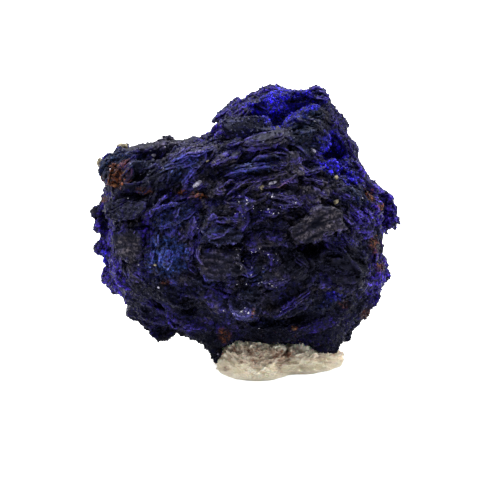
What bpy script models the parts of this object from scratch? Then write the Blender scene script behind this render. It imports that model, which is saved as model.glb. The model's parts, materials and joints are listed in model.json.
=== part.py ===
"""Azurite specimen: one mass of dark blue azurite, stepped in thin leaves and crusted with small
crystals, which a pressed wad of mounting putty holds upright.

Lengths are in millimetres and become metres where a mesh is made. +X is right, +Y is back and +Z
is up. The origin is on the surface that the putty stands on, under the middle of the mass.

The forms of the front are laid out as seen by an eye that looks down at the mass a little. A place
there is given as across, from the middle to the right, and height, up from the foot, both square to
that eye's line of sight.
"""

import math
import random

import bmesh
import bpy
from mathutils import Matrix, Vector, noise
from mathutils.bvhtree import BVHTree

MM = 0.001

# ---------------------------------------------------------------- driving dimensions

EYE_TILT = math.radians(13.0)
SKIN = 0.6  # how far leaves and nodules stand out of the core on average
RING_POINTS = 44
RING_SQUARENESS = 0.86  # 1 is an ellipse, less is boxier

# Slices of the mass, square to the eye's up: a slice's height, and how far it reaches to the left,
# right, front and back.
MASS_SLICES = (
    (3.2, -5.6, 14.3, -4.8, 5.4),
    (4.4, -8.8, 15.6, -7.2, 7.6),
    (5.6, -12.8, 16.4, -8.8, 9.2),
    (7.9, -16.7, 18.5, -10.8, 11.0),
    (11.4, -19.7, 20.4, -12.4, 12.4),
    (13.8, -20.8, 21.1, -13.0, 13.2),
    (16.2, -20.5, 20.7, -13.4, 13.6),
    (21.0, -21.0, 21.2, -13.2, 13.6),
    (24.6, -21.9, 21.0, -12.4, 13.4),
    (27.0, -21.7, 19.3, -11.4, 12.8),
    (29.4, -21.7, 17.9, -10.2, 12.2),
    (31.7, -20.9, 16.9, -9.0, 11.4),
    (32.8, -16.2, 16.6, -8.0, 10.6),
    (33.8, -7.4, 15.6, -6.8, 10.2),
    (36.5, -4.0, 14.3, -4.8, 9.8),
    (38.9, -2.4, 13.6, -2.8, 9.2),
    (40.5, -0.4, 12.8, -0.8, 8.2),
    (41.9, 1.6, 6.2, 1.6, 6.6),
)
UPRIGHT = 0.15  # how far the slices come forward for each unit of height over the lowest of them
GRAIN_HEART = (2.0, 16.0)  # the leaves lie roughly in rings round this place on the front
GRAIN_BEND = 0.7
GRAIN_RISE = 12  # degrees that the rings are tipped up to the right

FINEST_FORM = 0.32  # size of the smallest form that the solid keeps
AZURITE_TRIANGLES = 8200
PUTTY_TRIANGLES = 700
SEAT_GAP = 0.3  # clearance between the azurite and the putty that it sits in

# Stacks of leaves on the front. Across and height of the middle, length, depth of a leaf, thickness of
# the stack, number of leaves, slope of their length in degrees, how many degrees their faces turn to
# the eye, and how far they stand out of the core.
SHELVES_AT_THE_UPPER_LEFT = (
    (-12.2, 32.9, 11.4, 8.0, 1.3, 1, 9, 12, 1.4),
    (-18.6, 29.6, 7.2, 6.0, 4.8, 2, 6, 60, 0.9),
    (-19.4, 31.2, 5.2, 6.0, 1.6, 1, 4, 30, 1.2),
    (-20.9, 26.8, 3.4, 4.0, 1.4, 1, 8, 30, 1.0),
    (-8.0, 31.6, 7.4, 4.0, 1.9, 3, 14, 26, 1.6),
    (-6.4, 29.4, 7.2, 3.6, 3.4, 3, 32, 38, 1.2),
    (-10.4, 29.0, 8.0, 3.6, 4.6, 4, 44, 44, 0.9),
    (-13.4, 27.8, 5.2, 3.4, 3.6, 3, 56, 46, 0.4),
)
RIDGES_ACROSS_THE_MIDDLE = (
    (2.5, 32.8, 7.8, 4.0, 2.4, 2, 13, 46, 1.9),
    (3.6, 31.2, 5.6, 3.4, 1.3, 1, 6, 50, 1.8),
    (4.9, 30.1, 4.4, 3.0, 1.0, 1, 5, 46, 2.0),
    (-2.8, 30.6, 5.4, 3.6, 1.3, 1, 13, 36, 1.4),
    (0.0, 29.2, 8.0, 4.0, 1.9, 2, 9, 42, 2.0),
    (3.8, 27.8, 9.4, 3.8, 2.2, 3, 18, 40, 1.8),
    (-3.9, 26.3, 3.4, 3.0, 1.5, 1, 25, 46, 1.9),
    (-1.0, 26.0, 6.4, 3.8, 2.8, 3, 24, 40, 1.9),
    (4.6, 24.8, 7.6, 3.8, 2.8, 3, 9, 44, 1.7),
    (-0.6, 23.5, 5.4, 3.8, 1.5, 1, 4, 36, 2.1),
    (-4.4, 23.2, 3.4, 3.0, 2.0, 2, 20, 44, 1.5),
    (-2.2, 21.7, 5.8, 3.8, 1.4, 1, 2, 34, 2.0),
    (11.0, 28.2, 6.2, 3.6, 3.8, 3, 10, 46, 1.4),
    (14.9, 25.6, 6.2, 3.4, 3.0, 3, -28, 46, 1.0),
    (-10.4, 23.4, 8.8, 3.4, 4.0, 4, 27, 38, 1.1),
    (-6.8, 20.6, 4.4, 3.2, 3.0, 2, 32, 50, 1.0),
)
PEAK_AND_CREST = (
    (-3.0, 37.6, 6.0, 3.8, 2.2, 2, 50, 35, 0.6),
    (-0.9, 37.6, 5.2, 3.2, 1.6, 1, 47, 30, 0.9),
    (-4.2, 35.2, 5.0, 3.6, 1.8, 2, 34, 36, 0.8),
    (0.7, 34.4, 9.4, 3.4, 1.9, 2, 3, 42, 1.5),
    (8.8, 36.6, 6.6, 3.6, 2.8, 2, 38, 46, 2.2),
    (8.4, 33.8, 5.6, 3.8, 4.2, 2, 30, 62, 1.7),
    (10.9, 34.4, 7.2, 3.0, 1.6, 1, -80, 50, 1.7),
    (13.3, 37.0, 7.2, 3.8, 2.4, 2, -70, 45, 0.6),
    (16.2, 31.4, 8.2, 3.8, 2.6, 2, -64, 45, 0.7),
    (16.0, 28.6, 6.4, 3.6, 2.6, 2, -50, 45, 0.8),
)
LEDGES_AT_THE_LEFT = (
    (-18.2, 23.7, 6.2, 5.0, 1.9, 2, 10, 36, 1.6),
    (-11.6, 18.0, 5.6, 5.2, 1.8, 2, 40, 74, 0.8),
    (-18.8, 15.4, 5.0, 3.6, 2.2, 2, -30, 60, 0.6),
    (-15.7, 12.6, 6.6, 4.0, 3.0, 3, -48, 52, 0.6),
    (-10.9, 10.8, 7.2, 4.0, 3.0, 3, -25, 56, 1.0),
    (-14.0, 8.4, 5.6, 4.0, 2.0, 2, -20, 50, 0.5),
    (-8.4, 6.9, 7.6, 4.0, 2.2, 2, -14, 50, 0.8),
    (-3.4, 5.4, 6.6, 4.0, 2.0, 2, -10, 50, 0.9),
)
LUMPS_AT_THE_LOWER_RIGHT = (
    (6.4, 14.8, 7.2, 4.0, 4.0, 3, 14, 62, 1.4),
    (-3.3, 9.6, 6.2, 3.4, 1.7, 2, -40, 50, 1.4),
    (6.6, 9.6, 8.2, 3.6, 1.9, 2, 27, 50, 1.7),
    (1.0, 11.0, 4.8, 3.4, 2.0, 1, -18, 66, 1.7),
    (16.4, 21.4, 5.6, 4.2, 4.0, 2, -5, 62, 1.6),
    (18.6, 17.8, 5.0, 4.0, 2.6, 2, 60, 56, 0.8),
    (17.6, 9.6, 6.2, 3.8, 3.2, 2, 40, 50, 0.8),
    (11.2, 5.0, 7.2, 4.0, 4.0, 3, 38, 48, 0.6),
    (4.6, 4.6, 7.0, 4.0, 2.6, 2, 4, 46, 0.4),
)
FRONT_STACKS = (
    *SHELVES_AT_THE_UPPER_LEFT, *RIDGES_ACROSS_THE_MIDDLE, *PEAK_AND_CREST, *LEDGES_AT_THE_LEFT,
    *LUMPS_AT_THE_LOWER_RIGHT,
)

# Smooth plates on the front: how far a plate stands out, its thickness, and the corners of its outline.
FAN_PLATE = (2.5, 1.8, (
    (6.4, 20.2), (9.2, 22.8), (9.9, 23.8), (12.4, 23.9), (14.6, 23.3), (14.2, 21.6), (15.2, 20.3),
    (11.6, 20.2), (10.9, 18.9), (8.2, 18.2), (7.3, 18.7),
))
LEFT_PLATE = (1.7, 1.3, ((-19.8, 20.4), (-14.7, 20.6), (-15.3, 16.5), (-17.6, 16.0), (-19.0, 16.6)))
LENS_PLATE = (2.2, 1.3, (
    (-6.7, 18.9), (-5.0, 20.4), (-2.4, 20.9), (-0.4, 19.9), (-0.6, 18.5), (-3.6, 18.0),
))
DARK_PLATE = (2.1, 1.4, (
    (-7.1, 16.6), (-6.0, 17.7), (-0.8, 17.6), (-0.7, 14.6), (-3.0, 13.0), (-5.6, 12.9), (-6.8, 15.0),
))
SMALL_PLATE = (2.6, 1.0, ((-2.6, 15.0), (-0.3, 15.1), (-0.1, 14.1), (-1.2, 13.5), (-2.3, 13.8)))
CHIN_PLATE = (2.0, 1.2, ((-1.7, 9.0), (1.0, 8.9), (2.2, 7.7), (1.2, 6.9), (-0.6, 7.1)))
FRONT_PLATES = (FAN_PLATE, LEFT_PLATE, LENS_PLATE, DARK_PLATE, SMALL_PLATE, CHIN_PLATE)

# The fan of blades at the lower right: where they meet, each blade's slope and length, their section
# and how far they stand out.
FAN_HEART = (9.8, 16.6)
FAN_BLADES = ((2, 9.0), (-11, 10.0), (-25, 9.6), (-40, 8.0))
FAN_BLADE_SECTION = (2.3, 1.7)
FAN_PROUD = 1.2

# Hollows that open to the front: across, height, half width, half height, slope in degrees, and depth
# under the core.
FRONT_HOLLOWS = (
    (4.0, 37.7, 4.8, 2.7, 14, 2.6),  # the bright blue hollow
    (8.6, 39.3, 3.0, 1.5, -5, 1.5),
    (7.2, 39.1, 0.6, 0.8, 0, 4.6),  # the dark pit in it
    (13.2, 31.6, 2.6, 3.5, 14, 3.2),  # the second blue hollow
    (9.4, 17.4, 4.0, 1.3, 10, 3.4),  # the cave under the fan plate
    (-12.6, 31.4, 4.8, 0.7, 6, 3.6),  # under the top shelf
    (-15.4, 28.0, 1.9, 1.4, 20, 3.4),  # beside the block
    (-17.2, 25.3, 4.6, 0.8, 6, 3.0),  # under the block
    (-9.4, 25.8, 4.0, 0.8, -4, 2.8),
    (-17.6, 21.8, 4.2, 0.6, 4, 2.2),  # under the ledge
    (-8.2, 8.6, 1.3, 1.1, 20, 2.8),
    (-13.0, 9.4, 1.6, 0.9, -20, 2.4),
    (6.8, 6.9, 7.4, 1.3, 6, 2.8),  # under the chin
    (16.3, 20.7, 0.8, 0.8, 0, 4.4),  # the round pit in the lobe
)

# Round nodules on the outline: across, height and radius.
EDGE_NODULES = (
    (18.2, 27.3, 1.2), (19.3, 26.2, 1.3), (20.8, 25.0, 1.6), (21.7, 23.5, 1.6), (21.6, 21.9, 1.4),
    (20.4, 20.9, 1.3), (19.2, 24.6, 1.7), (19.4, 22.6, 1.7), (-21.9, 23.0, 1.3), (-21.8, 21.4, 1.2),
    (-21.0, 19.2, 0.9), (-21.0, 30.6, 1.1), (-18.2, 32.1, 0.9), (20.4, 15.6, 1.3),
    (20.7, 13.6, 1.3), (19.7, 11.4, 1.2), (18.2, 8.4, 1.2), (-16.8, 7.6, 0.9), (-20.4, 13.6, 0.9),
    (7.4, 31.9, 1.2), (-3.6, 37.0, 0.9), (-1.2, 39.4, 1.0), (15.9, 32.2, 1.0), (17.2, 29.8, 1.0),
    (15.2, 4.6, 1.2),
)

# The foot at the lower left: the middles and radii of the lumps that run down to its tip.
FOOT_LUMPS = ((-4.9, -3.4, 5.0, 2.1), (-4.4, -3.4, 3.4, 1.5), (-4.2, -3.4, 2.2, 1.0))

FILLING_STACKS = 110  # small stacks between the placed ones
SIDE_STACKS = 110
SIDE_NODULES = 70
SIDE_NODULE_RADII = (0.9, 1.9)

# The lobes of the putty: middle across and from front to back, half width, half depth, height, and
# turn in degrees.
PUTTY_LOBES = (
    (1.4, -1.6, 5.6, 6.4, 4.9, 10), (8.2, 1.2, 6.4, 5.4, 4.2, 24), (5.0, 4.4, 7.4, 5.6, 4.0, 0),
    (0.6, 5.4, 4.9, 5.2, 4.2, 0),
)
PUTTY_FOOT = -3.2  # the lobes reach this far down before the foot is cut off flat


# ---------------------------------------------------------------- small tools

def new_object(name, shape):
    """An object in the scene that holds the bmesh, whose lengths are millimetres."""
    bmesh.ops.scale(shape, vec=(MM, MM, MM), verts=shape.verts)
    bmesh.ops.recalc_face_normals(shape, faces=shape.faces)
    mesh = bpy.data.meshes.new(name)
    shape.to_mesh(mesh)
    shape.free()
    made = bpy.data.objects.new(name, mesh)
    bpy.context.scene.collection.objects.link(made)
    return made


def apply_modifiers(thing):
    """Turns the object's modifiers into its own mesh."""
    graph = bpy.context.evaluated_depsgraph_get()
    thing.data = bpy.data.meshes.new_from_object(thing.evaluated_get(graph))
    thing.modifiers.clear()


def triangle_count(mesh):
    mesh.calc_loop_triangles()
    return len(mesh.loop_triangles)


def add_material(thing, colour, roughness):
    finish = bpy.data.materials.new(thing.name)
    finish.use_nodes = True
    surface = finish.node_tree.nodes["Principled BSDF"]
    surface.inputs["Base Color"].default_value = (*colour, 1.0)
    surface.inputs["Roughness"].default_value = roughness
    surface.inputs["Metallic"].default_value = 0.0
    thing.data.materials.clear()
    thing.data.materials.append(finish)


def chance_direction(chance):
    rise, turn = chance.uniform(-1, 1), chance.uniform(0, 2 * math.pi)
    level = math.sqrt(1 - rise * rise)
    return Vector((level * math.cos(turn), level * math.sin(turn), rise))


def roughen(shape, amount, scale):
    """Moves the points in and out by a smooth noise, so that no form stays regular."""
    shape.normal_update()
    for vert in shape.verts:
        vert.co += vert.normal * amount * noise.fractal(vert.co / scale, 0.6, 2.0, 3)


# ---------------------------------------------------------------- the core

EYE = Vector((0.0, math.cos(EYE_TILT), -math.sin(EYE_TILT)))  # the way that the eye looks
EYE_UP = Vector((0.0, math.sin(EYE_TILT), math.cos(EYE_TILT)))
FAR = 100.0


def eye_place(across, height):
    return Vector((across, 0.0, 0.0)) + EYE_UP * height


def boxy(share, squareness):
    """A sine or cosine bent so that the curve it draws is boxier than a circle."""
    return math.copysign(abs(share) ** squareness, share)


def ring(height, left, right, front, back):
    """The points round one slice of the mass, with the skin taken off."""
    middle = (left + right) / 2
    half_width = max((right - left) / 2 - SKIN, SKIN)
    middle_depth = (front + back) / 2
    half_depth = max((back - front) / 2 - SKIN, SKIN)
    for step in range(RING_POINTS):
        turn = 2 * math.pi * step / RING_POINTS
        across = middle + half_width * boxy(math.cos(turn), RING_SQUARENESS)
        depth = middle_depth + half_depth * boxy(math.sin(turn), RING_SQUARENESS)
        forward = UPRIGHT * (height - MASS_SLICES[0][0])
        yield eye_place(across, height) + EYE * (depth - forward)


def core_shape():
    """The mass without its leaves: rings joined into a closed form."""
    shape = bmesh.new()
    rings = [[shape.verts.new(point) for point in ring(*row)] for row in MASS_SLICES]
    for low, high in zip(rings, rings[1:]):
        for at in range(RING_POINTS):
            after = (at + 1) % RING_POINTS
            shape.faces.new((low[at], low[after], high[after], high[at]))
    shape.faces.new(reversed(rings[0]))
    shape.faces.new(rings[-1])
    bmesh.ops.triangulate(shape, faces=shape.faces)
    bmesh.ops.recalc_face_normals(shape, faces=shape.faces)
    return shape


# ---------------------------------------------------------------- places on the core

def on_front(core, across, height):
    """The point of the core that the eye sees at this place, and an outward way that leans to the eye."""
    place = eye_place(across, height)
    point, normal, _, _ = core.ray_cast(place - EYE * FAR, EYE)
    if point is None:
        point, normal, _, _ = core.find_nearest(place)
    return point, (normal.normalized() - EYE).normalized()


def axes_at(outward):
    """Right and up along the surface, for someone who looks at it from outside."""
    up = (EYE_UP - outward * EYE_UP.dot(outward)).normalized()
    return up.cross(outward).normalized(), up


# ---------------------------------------------------------------- leaves, plates and nodules

def add_slab(shape, low_rim, high_rim, bevelled_rim):
    """A closed slab through three rims with the same number of corners."""
    rims = [[shape.verts.new(point) for point in rim] for rim in (low_rim, high_rim, bevelled_rim)]
    count = len(low_rim)
    for low, high in zip(rims, rims[1:]):
        for at in range(count):
            after = (at + 1) % count
            shape.faces.new((low[at], low[after], high[after], high[at]))
    shape.faces.new(reversed(rims[0]))
    shape.faces.new(rims[-1])


def add_leaf(shape, middle, along, across, normal, length, width, thickness, chance):
    """One leaf: a slab with an irregular eight-sided outline and a smaller upper face."""
    corners = 8
    outline = []
    for corner in range(corners):
        turn = 2 * math.pi * (corner + 0.5 + chance.uniform(-0.25, 0.25)) / corners
        reach = chance.uniform(0.86, 1.08)
        outline.append(
            along * (length / 2 * reach * boxy(math.cos(turn), 0.7))
            + across * (width / 2 * reach * boxy(math.sin(turn), 0.7))
        )
    upper_size = chance.uniform(0.86, 0.96)
    add_slab(
        shape,
        [middle + out - normal * (thickness * 0.5) for out in outline],
        [middle + out + normal * (thickness * 0.2) for out in outline],
        [middle + out * upper_size + normal * (thickness * 0.5) for out in outline],
    )


def add_stack(shape, point, outward, size, leaves, slope, facing, proud, chance):
    """A stack of leaves on the core, each turned and shifted a little against its neighbours."""
    length, depth, thickness = size
    right, up = axes_at(outward)
    slope, facing = math.radians(slope), math.radians(facing)
    along = right * math.cos(slope) + up * math.sin(slope)
    rise = up * math.cos(slope) - right * math.sin(slope)
    normal = rise * math.cos(facing) + outward * math.sin(facing)
    across = normal.cross(along)
    reach = thickness / 2 * math.sin(facing) + depth / 2 * math.cos(facing)
    middle = point + outward * (proud - reach)
    pitch = thickness / leaves
    for leaf in range(leaves):
        level = (leaf - (leaves - 1) / 2) * pitch
        swing = Matrix.Rotation(math.radians(chance.uniform(-5, 5)), 3, normal)
        shift = along * chance.uniform(-0.1, 0.1) * length + across * chance.uniform(-0.12, 0.12) * depth
        add_leaf(
            shape, middle + normal * level + shift, swing @ along, swing @ across, normal,
            length * chance.uniform(0.84, 1.0), depth * chance.uniform(0.85, 1.0), pitch * 1.1, chance,
        )


def add_front_stacks(shape, core, chance):
    for across, height, length, depth, thickness, leaves, slope, facing, proud in FRONT_STACKS:
        point, outward = on_front(core, across, height)
        add_stack(shape, point, outward, (length, depth, thickness), leaves, slope, facing, proud, chance)


def grain_slope(across, height):
    """The slope of the leaves at this place on the front, in degrees."""
    turn = math.degrees(math.atan2(across - GRAIN_HEART[0], height - GRAIN_HEART[1]))
    return GRAIN_RISE - GRAIN_BEND * ((turn + 90) % 180 - 90)


def in_hollow(across, height, middle, level, half_width, half_height):
    """Whether the place is in the hollow or within 1.2 of its edge."""
    return math.hypot((across - middle) / (half_width + 1.2), (height - level) / (half_height + 1.2)) < 1


def add_filling_stacks(shape, core, chance):
    """Small low stacks all over the front, outside the hollows, laid along the grain."""
    made = 0
    while made < FILLING_STACKS:
        across, height = chance.uniform(-21, 20), chance.uniform(4, 34)
        if any(in_hollow(across, height, *hollow[:4]) for hollow in FRONT_HOLLOWS):
            continue
        point, outward = on_front(core, across, height)
        size = (chance.uniform(2.6, 5.0), chance.uniform(2.0, 3.2), chance.uniform(1.0, 2.0))
        slope = grain_slope(across, height) + chance.uniform(-12, 12)
        proud = chance.uniform(0.3, 1.0)
        leaves, facing = chance.choice((1, 2)), chance.uniform(34, 66)
        add_stack(shape, point, outward, size, leaves, slope, facing, proud, chance)
        made += 1


def add_front_plates(shape, core):
    """Smooth plates. Each lies in a plane that leans with the core, and its root runs into the core."""
    for proud, thickness, outline in FRONT_PLATES:
        across = sum(corner[0] for corner in outline) / len(outline)
        height = sum(corner[1] for corner in outline) / len(outline)
        point, outward = on_front(core, across, height)
        top = point + outward * proud
        face = []
        for corner in reversed(outline):
            start = eye_place(*corner)
            face.append(start + EYE * ((top - start).dot(outward) / EYE.dot(outward)))
        middle = sum(face, Vector()) / len(face)
        add_slab(
            shape,
            [middle + (place - middle) * 0.8 - outward * (thickness + proud) for place in face],
            [place - outward * (thickness * 0.3) for place in face],
            [middle + (place - middle) * 0.94 for place in face],
        )


def add_fan(shape, core, chance):
    """Blades that spread from one heart at the lower right."""
    width, thickness = FAN_BLADE_SECTION
    for slope, length in FAN_BLADES:
        turn = math.radians(slope)
        across = FAN_HEART[0] + math.cos(turn) * length * 0.5
        height = FAN_HEART[1] + math.sin(turn) * length * 0.5
        point, outward = on_front(core, across, height)
        add_stack(shape, point, outward, (length, width, thickness), 1, slope, 62, FAN_PROUD, chance)


def add_nodule(shape, point, radius, chance):
    """A lump of crystals: a ball of flat faces, a little out of round."""
    stretch = Matrix.Diagonal([radius * chance.uniform(0.8, 1.2) for _ in range(3)]).to_4x4()
    turn = Matrix.Rotation(chance.uniform(0, math.pi), 4, chance_direction(chance))
    place = Matrix.Translation(point) @ turn @ stretch
    bmesh.ops.create_icosphere(shape, subdivisions=1, radius=1.0, matrix=place)


def add_edge_nodules(shape, core, chance):
    for across, height, radius in EDGE_NODULES:
        place = eye_place(across, height)
        nearest, _, _, _ = core.find_nearest(place)
        away = place - nearest
        add_nodule(shape, nearest + away * min(1.0, 2.0 / max(away.length, 0.01)), radius, chance)


def add_foot(shape, chance):
    for across, depth, height, radius in FOOT_LUMPS:
        add_nodule(shape, Vector((across, depth, height)), radius, chance)


def directions_all_round(count):
    """Directions spread evenly over a ball."""
    golden = math.pi * (3 - math.sqrt(5))
    for step in range(count):
        rise = 1 - (2 * step + 1) / count
        level = math.sqrt(1 - rise * rise)
        yield Vector((math.cos(golden * step) * level, math.sin(golden * step) * level, rise))


def side_places(core, count):
    """Places spread over the sides, back, top and underside, where the eye doesn't look."""
    centre = Vector((-0.5, 1.0, 20.0))
    for way in directions_all_round(count):
        point, normal, _, _ = core.ray_cast(centre + way * FAR, -way)
        if point is not None and point.z > 6.5 and normal.dot(EYE) > -0.2:
            yield point, normal.normalized()


def add_side_stacks(shape, core, chance):
    """Stacks of leaves round the sides and the back, laid along a grain that bends over the mass."""
    for point, outward in side_places(core, SIDE_STACKS * 2):
        slope = 26 * math.sin(point.x / 7 + point.z / 9) + chance.uniform(-10, 10)
        size = (chance.uniform(6.0, 11.0), chance.uniform(3.6, 5.6), chance.uniform(2.0, 4.0))
        proud = chance.uniform(0.5, 1.7) if outward.dot(EYE) > 0.3 else 0.4
        leaves, facing = chance.choice((1, 2, 2, 3)), chance.uniform(26, 66)
        add_stack(shape, point, outward, size, leaves, slope, facing, proud, chance)


def add_side_nodules(shape, core, chance):
    for point, outward in side_places(core, SIDE_NODULES * 2):
        size = 1.0 if outward.dot(EYE) > 0.3 else 0.6
        radius = chance.uniform(*SIDE_NODULE_RADII) * size
        point += chance_direction(chance) * 0.6 * size
        add_nodule(shape, point, radius, chance)


# ---------------------------------------------------------------- hollows

def hollow_cutters(core):
    """One body that holds every hollow's cutter."""
    shape = bmesh.new()
    for across, height, half_width, half_height, slope, depth in FRONT_HOLLOWS:
        point, outward = on_front(core, across, height)
        right, up = axes_at(outward)
        turn = Matrix((right, up, outward)).transposed().to_4x4()
        turn @= Matrix.Rotation(math.radians(slope), 4, "Z")
        size = Matrix.Diagonal((half_width, half_height, depth)).to_4x4()
        bmesh.ops.create_icosphere(
            shape, subdivisions=2, radius=1.0, matrix=Matrix.Translation(point) @ turn @ size
        )
    return new_object("hollows", shape)


def cut_away(thing, cutter, crossing=False):
    """Takes the cutter's shape out of the thing, and removes the cutter."""
    cut = thing.modifiers.new("cut", "BOOLEAN")
    cut.operation = "DIFFERENCE"
    cut.object = cutter
    cut.use_self = crossing
    apply_modifiers(thing)
    bpy.data.objects.remove(cutter)


# ---------------------------------------------------------------- the two pieces

def fuse(forms, triangles):
    """Fuses overlapping closed forms into one skin, and thins it to about that many triangles."""
    remesh = forms.modifiers.new("one skin", "REMESH")
    remesh.mode = "VOXEL"
    remesh.voxel_size = FINEST_FORM * MM
    apply_modifiers(forms)
    thin = forms.modifiers.new("fewer faces", "DECIMATE")
    thin.ratio = triangles / triangle_count(forms.data)
    apply_modifiers(forms)


def keep_largest_body(thing):
    """Drops loose crumbs that the fusing left beside the main body."""
    shape = bmesh.new()
    shape.from_mesh(thing.data)
    unseen, bodies = set(shape.verts), []
    while unseen:
        body, edge = set(), [next(iter(unseen))]
        while edge:
            vert = edge.pop()
            if vert in body:
                continue
            body.add(vert)
            edge.extend(link.other_vert(vert) for link in vert.link_edges)
        unseen -= body
        bodies.append(body)
    keep = max(bodies, key=len)
    bmesh.ops.delete(shape, geom=[vert for vert in shape.verts if vert not in keep], context="VERTS")
    shape.to_mesh(thing.data)
    shape.free()


def make_azurite(chance):
    shape = core_shape()
    roughen(shape, 1.1, 6.0)
    core = BVHTree.FromBMesh(shape)
    azurite = new_object("azurite", shape)
    cut_away(azurite, hollow_cutters(core), crossing=True)

    forms = bmesh.new()
    add_front_stacks(forms, core, chance)
    add_filling_stacks(forms, core, chance)
    add_front_plates(forms, core)
    add_fan(forms, core, chance)
    add_edge_nodules(forms, core, chance)
    add_foot(forms, chance)
    add_side_stacks(forms, core, chance)
    add_side_nodules(forms, core, chance)
    bmesh.ops.scale(forms, vec=(MM, MM, MM), verts=forms.verts)
    forms.from_mesh(azurite.data)
    forms.to_mesh(azurite.data)
    forms.free()
    fuse(azurite, AZURITE_TRIANGLES)
    keep_largest_body(azurite)
    return azurite


def make_putty():
    """A wad pressed flat under the mass: lobes run together, with a flat foot."""
    shape = bmesh.new()
    for across, depth, half_width, half_depth, height, turn in PUTTY_LOBES:
        half_height = (height - PUTTY_FOOT) / 2
        place = Matrix.Translation((across, depth, PUTTY_FOOT + half_height))
        place @= Matrix.Rotation(math.radians(turn), 4, "Z")
        place @= Matrix.Diagonal((half_width, half_depth, half_height, 1.0))
        bmesh.ops.create_icosphere(shape, subdivisions=3, radius=1.0, matrix=place)
    putty = new_object("mounting_putty", shape)
    fuse(putty, PUTTY_TRIANGLES * 1.3)

    shape = bmesh.new()
    shape.from_mesh(putty.data)
    bmesh.ops.scale(shape, vec=(1 / MM, 1 / MM, 1 / MM), verts=shape.verts)
    roughen(shape, 0.6, 2.4)
    everything = [*shape.verts, *shape.edges, *shape.faces]
    cut = bmesh.ops.bisect_plane(
        shape, geom=everything, plane_co=(0, 0, 0), plane_no=(0, 0, -1), clear_outer=True,
    )
    rim = [edge for edge in cut["geom_cut"] if isinstance(edge, bmesh.types.BMEdge)]
    bmesh.ops.contextual_create(shape, geom=rim)
    bpy.data.objects.remove(putty)
    return new_object("mounting_putty", shape)


def seat(azurite, putty):
    """Leaves the putty's shape and its clearance in the underside of the azurite."""
    print_of_putty = putty.copy()
    print_of_putty.data = putty.data.copy()
    print_of_putty.name = "print of putty"
    bpy.context.scene.collection.objects.link(print_of_putty)
    swell = print_of_putty.modifiers.new("clearance", "DISPLACE")
    swell.strength = SEAT_GAP * MM
    swell.mid_level = 0.0
    apply_modifiers(print_of_putty)
    cut_away(azurite, print_of_putty)
    keep_largest_body(azurite)


def centre_over_origin(things):
    """Moves the pieces together, so that the middle of the whole is over the origin."""
    points = [vert.co for thing in things for vert in thing.data.vertices]
    for axis in (0, 1):
        low, high = min(point[axis] for point in points), max(point[axis] for point in points)
        shift = Vector((0.0, 0.0, 0.0))
        shift[axis] = -(low + high) / 2
        for thing in things:
            thing.data.transform(Matrix.Translation(shift))


def main():
    for thing in list(bpy.data.objects):
        bpy.data.objects.remove(thing)
    chance = random.Random(7)
    azurite = make_azurite(chance)
    putty = make_putty()
    seat(azurite, putty)
    centre_over_origin((azurite, putty))
    add_material(azurite, (0.02, 0.02, 0.09), 0.45)
    add_material(putty, (0.62, 0.54, 0.42), 0.8)


main()
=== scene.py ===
# %% [markdown]
# # An azurite specimen
#
# Azurite is a blue copper carbonate. This piece is one mass of thin crystal leaves that grew in steps and
# rings, with a crust of fine crystals (a *druse*) over nearly all of it, a bright blue hollow near its top,
# and spots of rusty limonite. A wad of mounting putty holds it upright.
#
# The solids from the CAD step give the large forms. This lesson dresses them: finer relief, thin leaves, some
# fifty thousand small crystals, and finishes that follow the mineral's own zones of colour. Painted shade, a
# painted sheen, painted highlights and painted glints are laid among them.

import json
import math

import bmesh
import bpy
import numpy as np
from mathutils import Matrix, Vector, noise
from mathutils.bvhtree import BVHTree

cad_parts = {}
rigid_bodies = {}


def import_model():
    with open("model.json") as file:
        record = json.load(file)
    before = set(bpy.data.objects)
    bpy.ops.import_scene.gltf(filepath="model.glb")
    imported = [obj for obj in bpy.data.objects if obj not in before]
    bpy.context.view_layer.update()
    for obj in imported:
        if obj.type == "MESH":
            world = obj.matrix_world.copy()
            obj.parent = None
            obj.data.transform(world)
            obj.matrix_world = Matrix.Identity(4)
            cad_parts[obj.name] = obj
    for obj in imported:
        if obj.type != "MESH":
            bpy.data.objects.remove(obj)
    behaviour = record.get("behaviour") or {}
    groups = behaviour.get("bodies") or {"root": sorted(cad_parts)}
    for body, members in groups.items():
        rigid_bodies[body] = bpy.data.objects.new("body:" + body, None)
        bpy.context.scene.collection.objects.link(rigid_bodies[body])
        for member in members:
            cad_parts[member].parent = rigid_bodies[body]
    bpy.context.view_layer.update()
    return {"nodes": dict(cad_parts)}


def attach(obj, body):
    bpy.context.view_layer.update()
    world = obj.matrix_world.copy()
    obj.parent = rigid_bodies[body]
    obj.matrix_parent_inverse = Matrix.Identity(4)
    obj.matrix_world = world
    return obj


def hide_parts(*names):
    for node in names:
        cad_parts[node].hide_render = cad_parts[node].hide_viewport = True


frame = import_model()
MM = 0.001
print("solids:", ", ".join(sorted(frame["nodes"])))

# %% [markdown]
# ## Places on the front
#
# The front was laid out by an eye that looks down at it by 13 degrees. So a place on it is easiest to give as
# that eye sees it: how far across it is and how high, square to the line of sight, in millimetres. One
# function turns points of a mesh into such places, and every later step uses it.

# %% The eye's directions
EYE_TILT = math.radians(13.0)
EYE = np.array([0.0, math.cos(EYE_TILT), -math.sin(EYE_TILT)])
EYE_UP = np.array([0.0, math.sin(EYE_TILT), math.cos(EYE_TILT)])
RIGHT = np.array([1.0, 0.0, 0.0])
LAYOUT_ORIGIN = np.array([0.02, -1.56, 0.0])  # where the layout's zero lies in the frame, in mm


def as_seen(points):
    """Across and height of points given in mm."""
    local = points - LAYOUT_ORIGIN
    return local @ RIGHT, local @ EYE_UP


def ramp(values, low, high):
    """A smooth step from 0 at low to 1 at high."""
    t = np.clip((values - low) / (high - low), 0, 1)
    return t * t * (3 - 2 * t)


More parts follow.
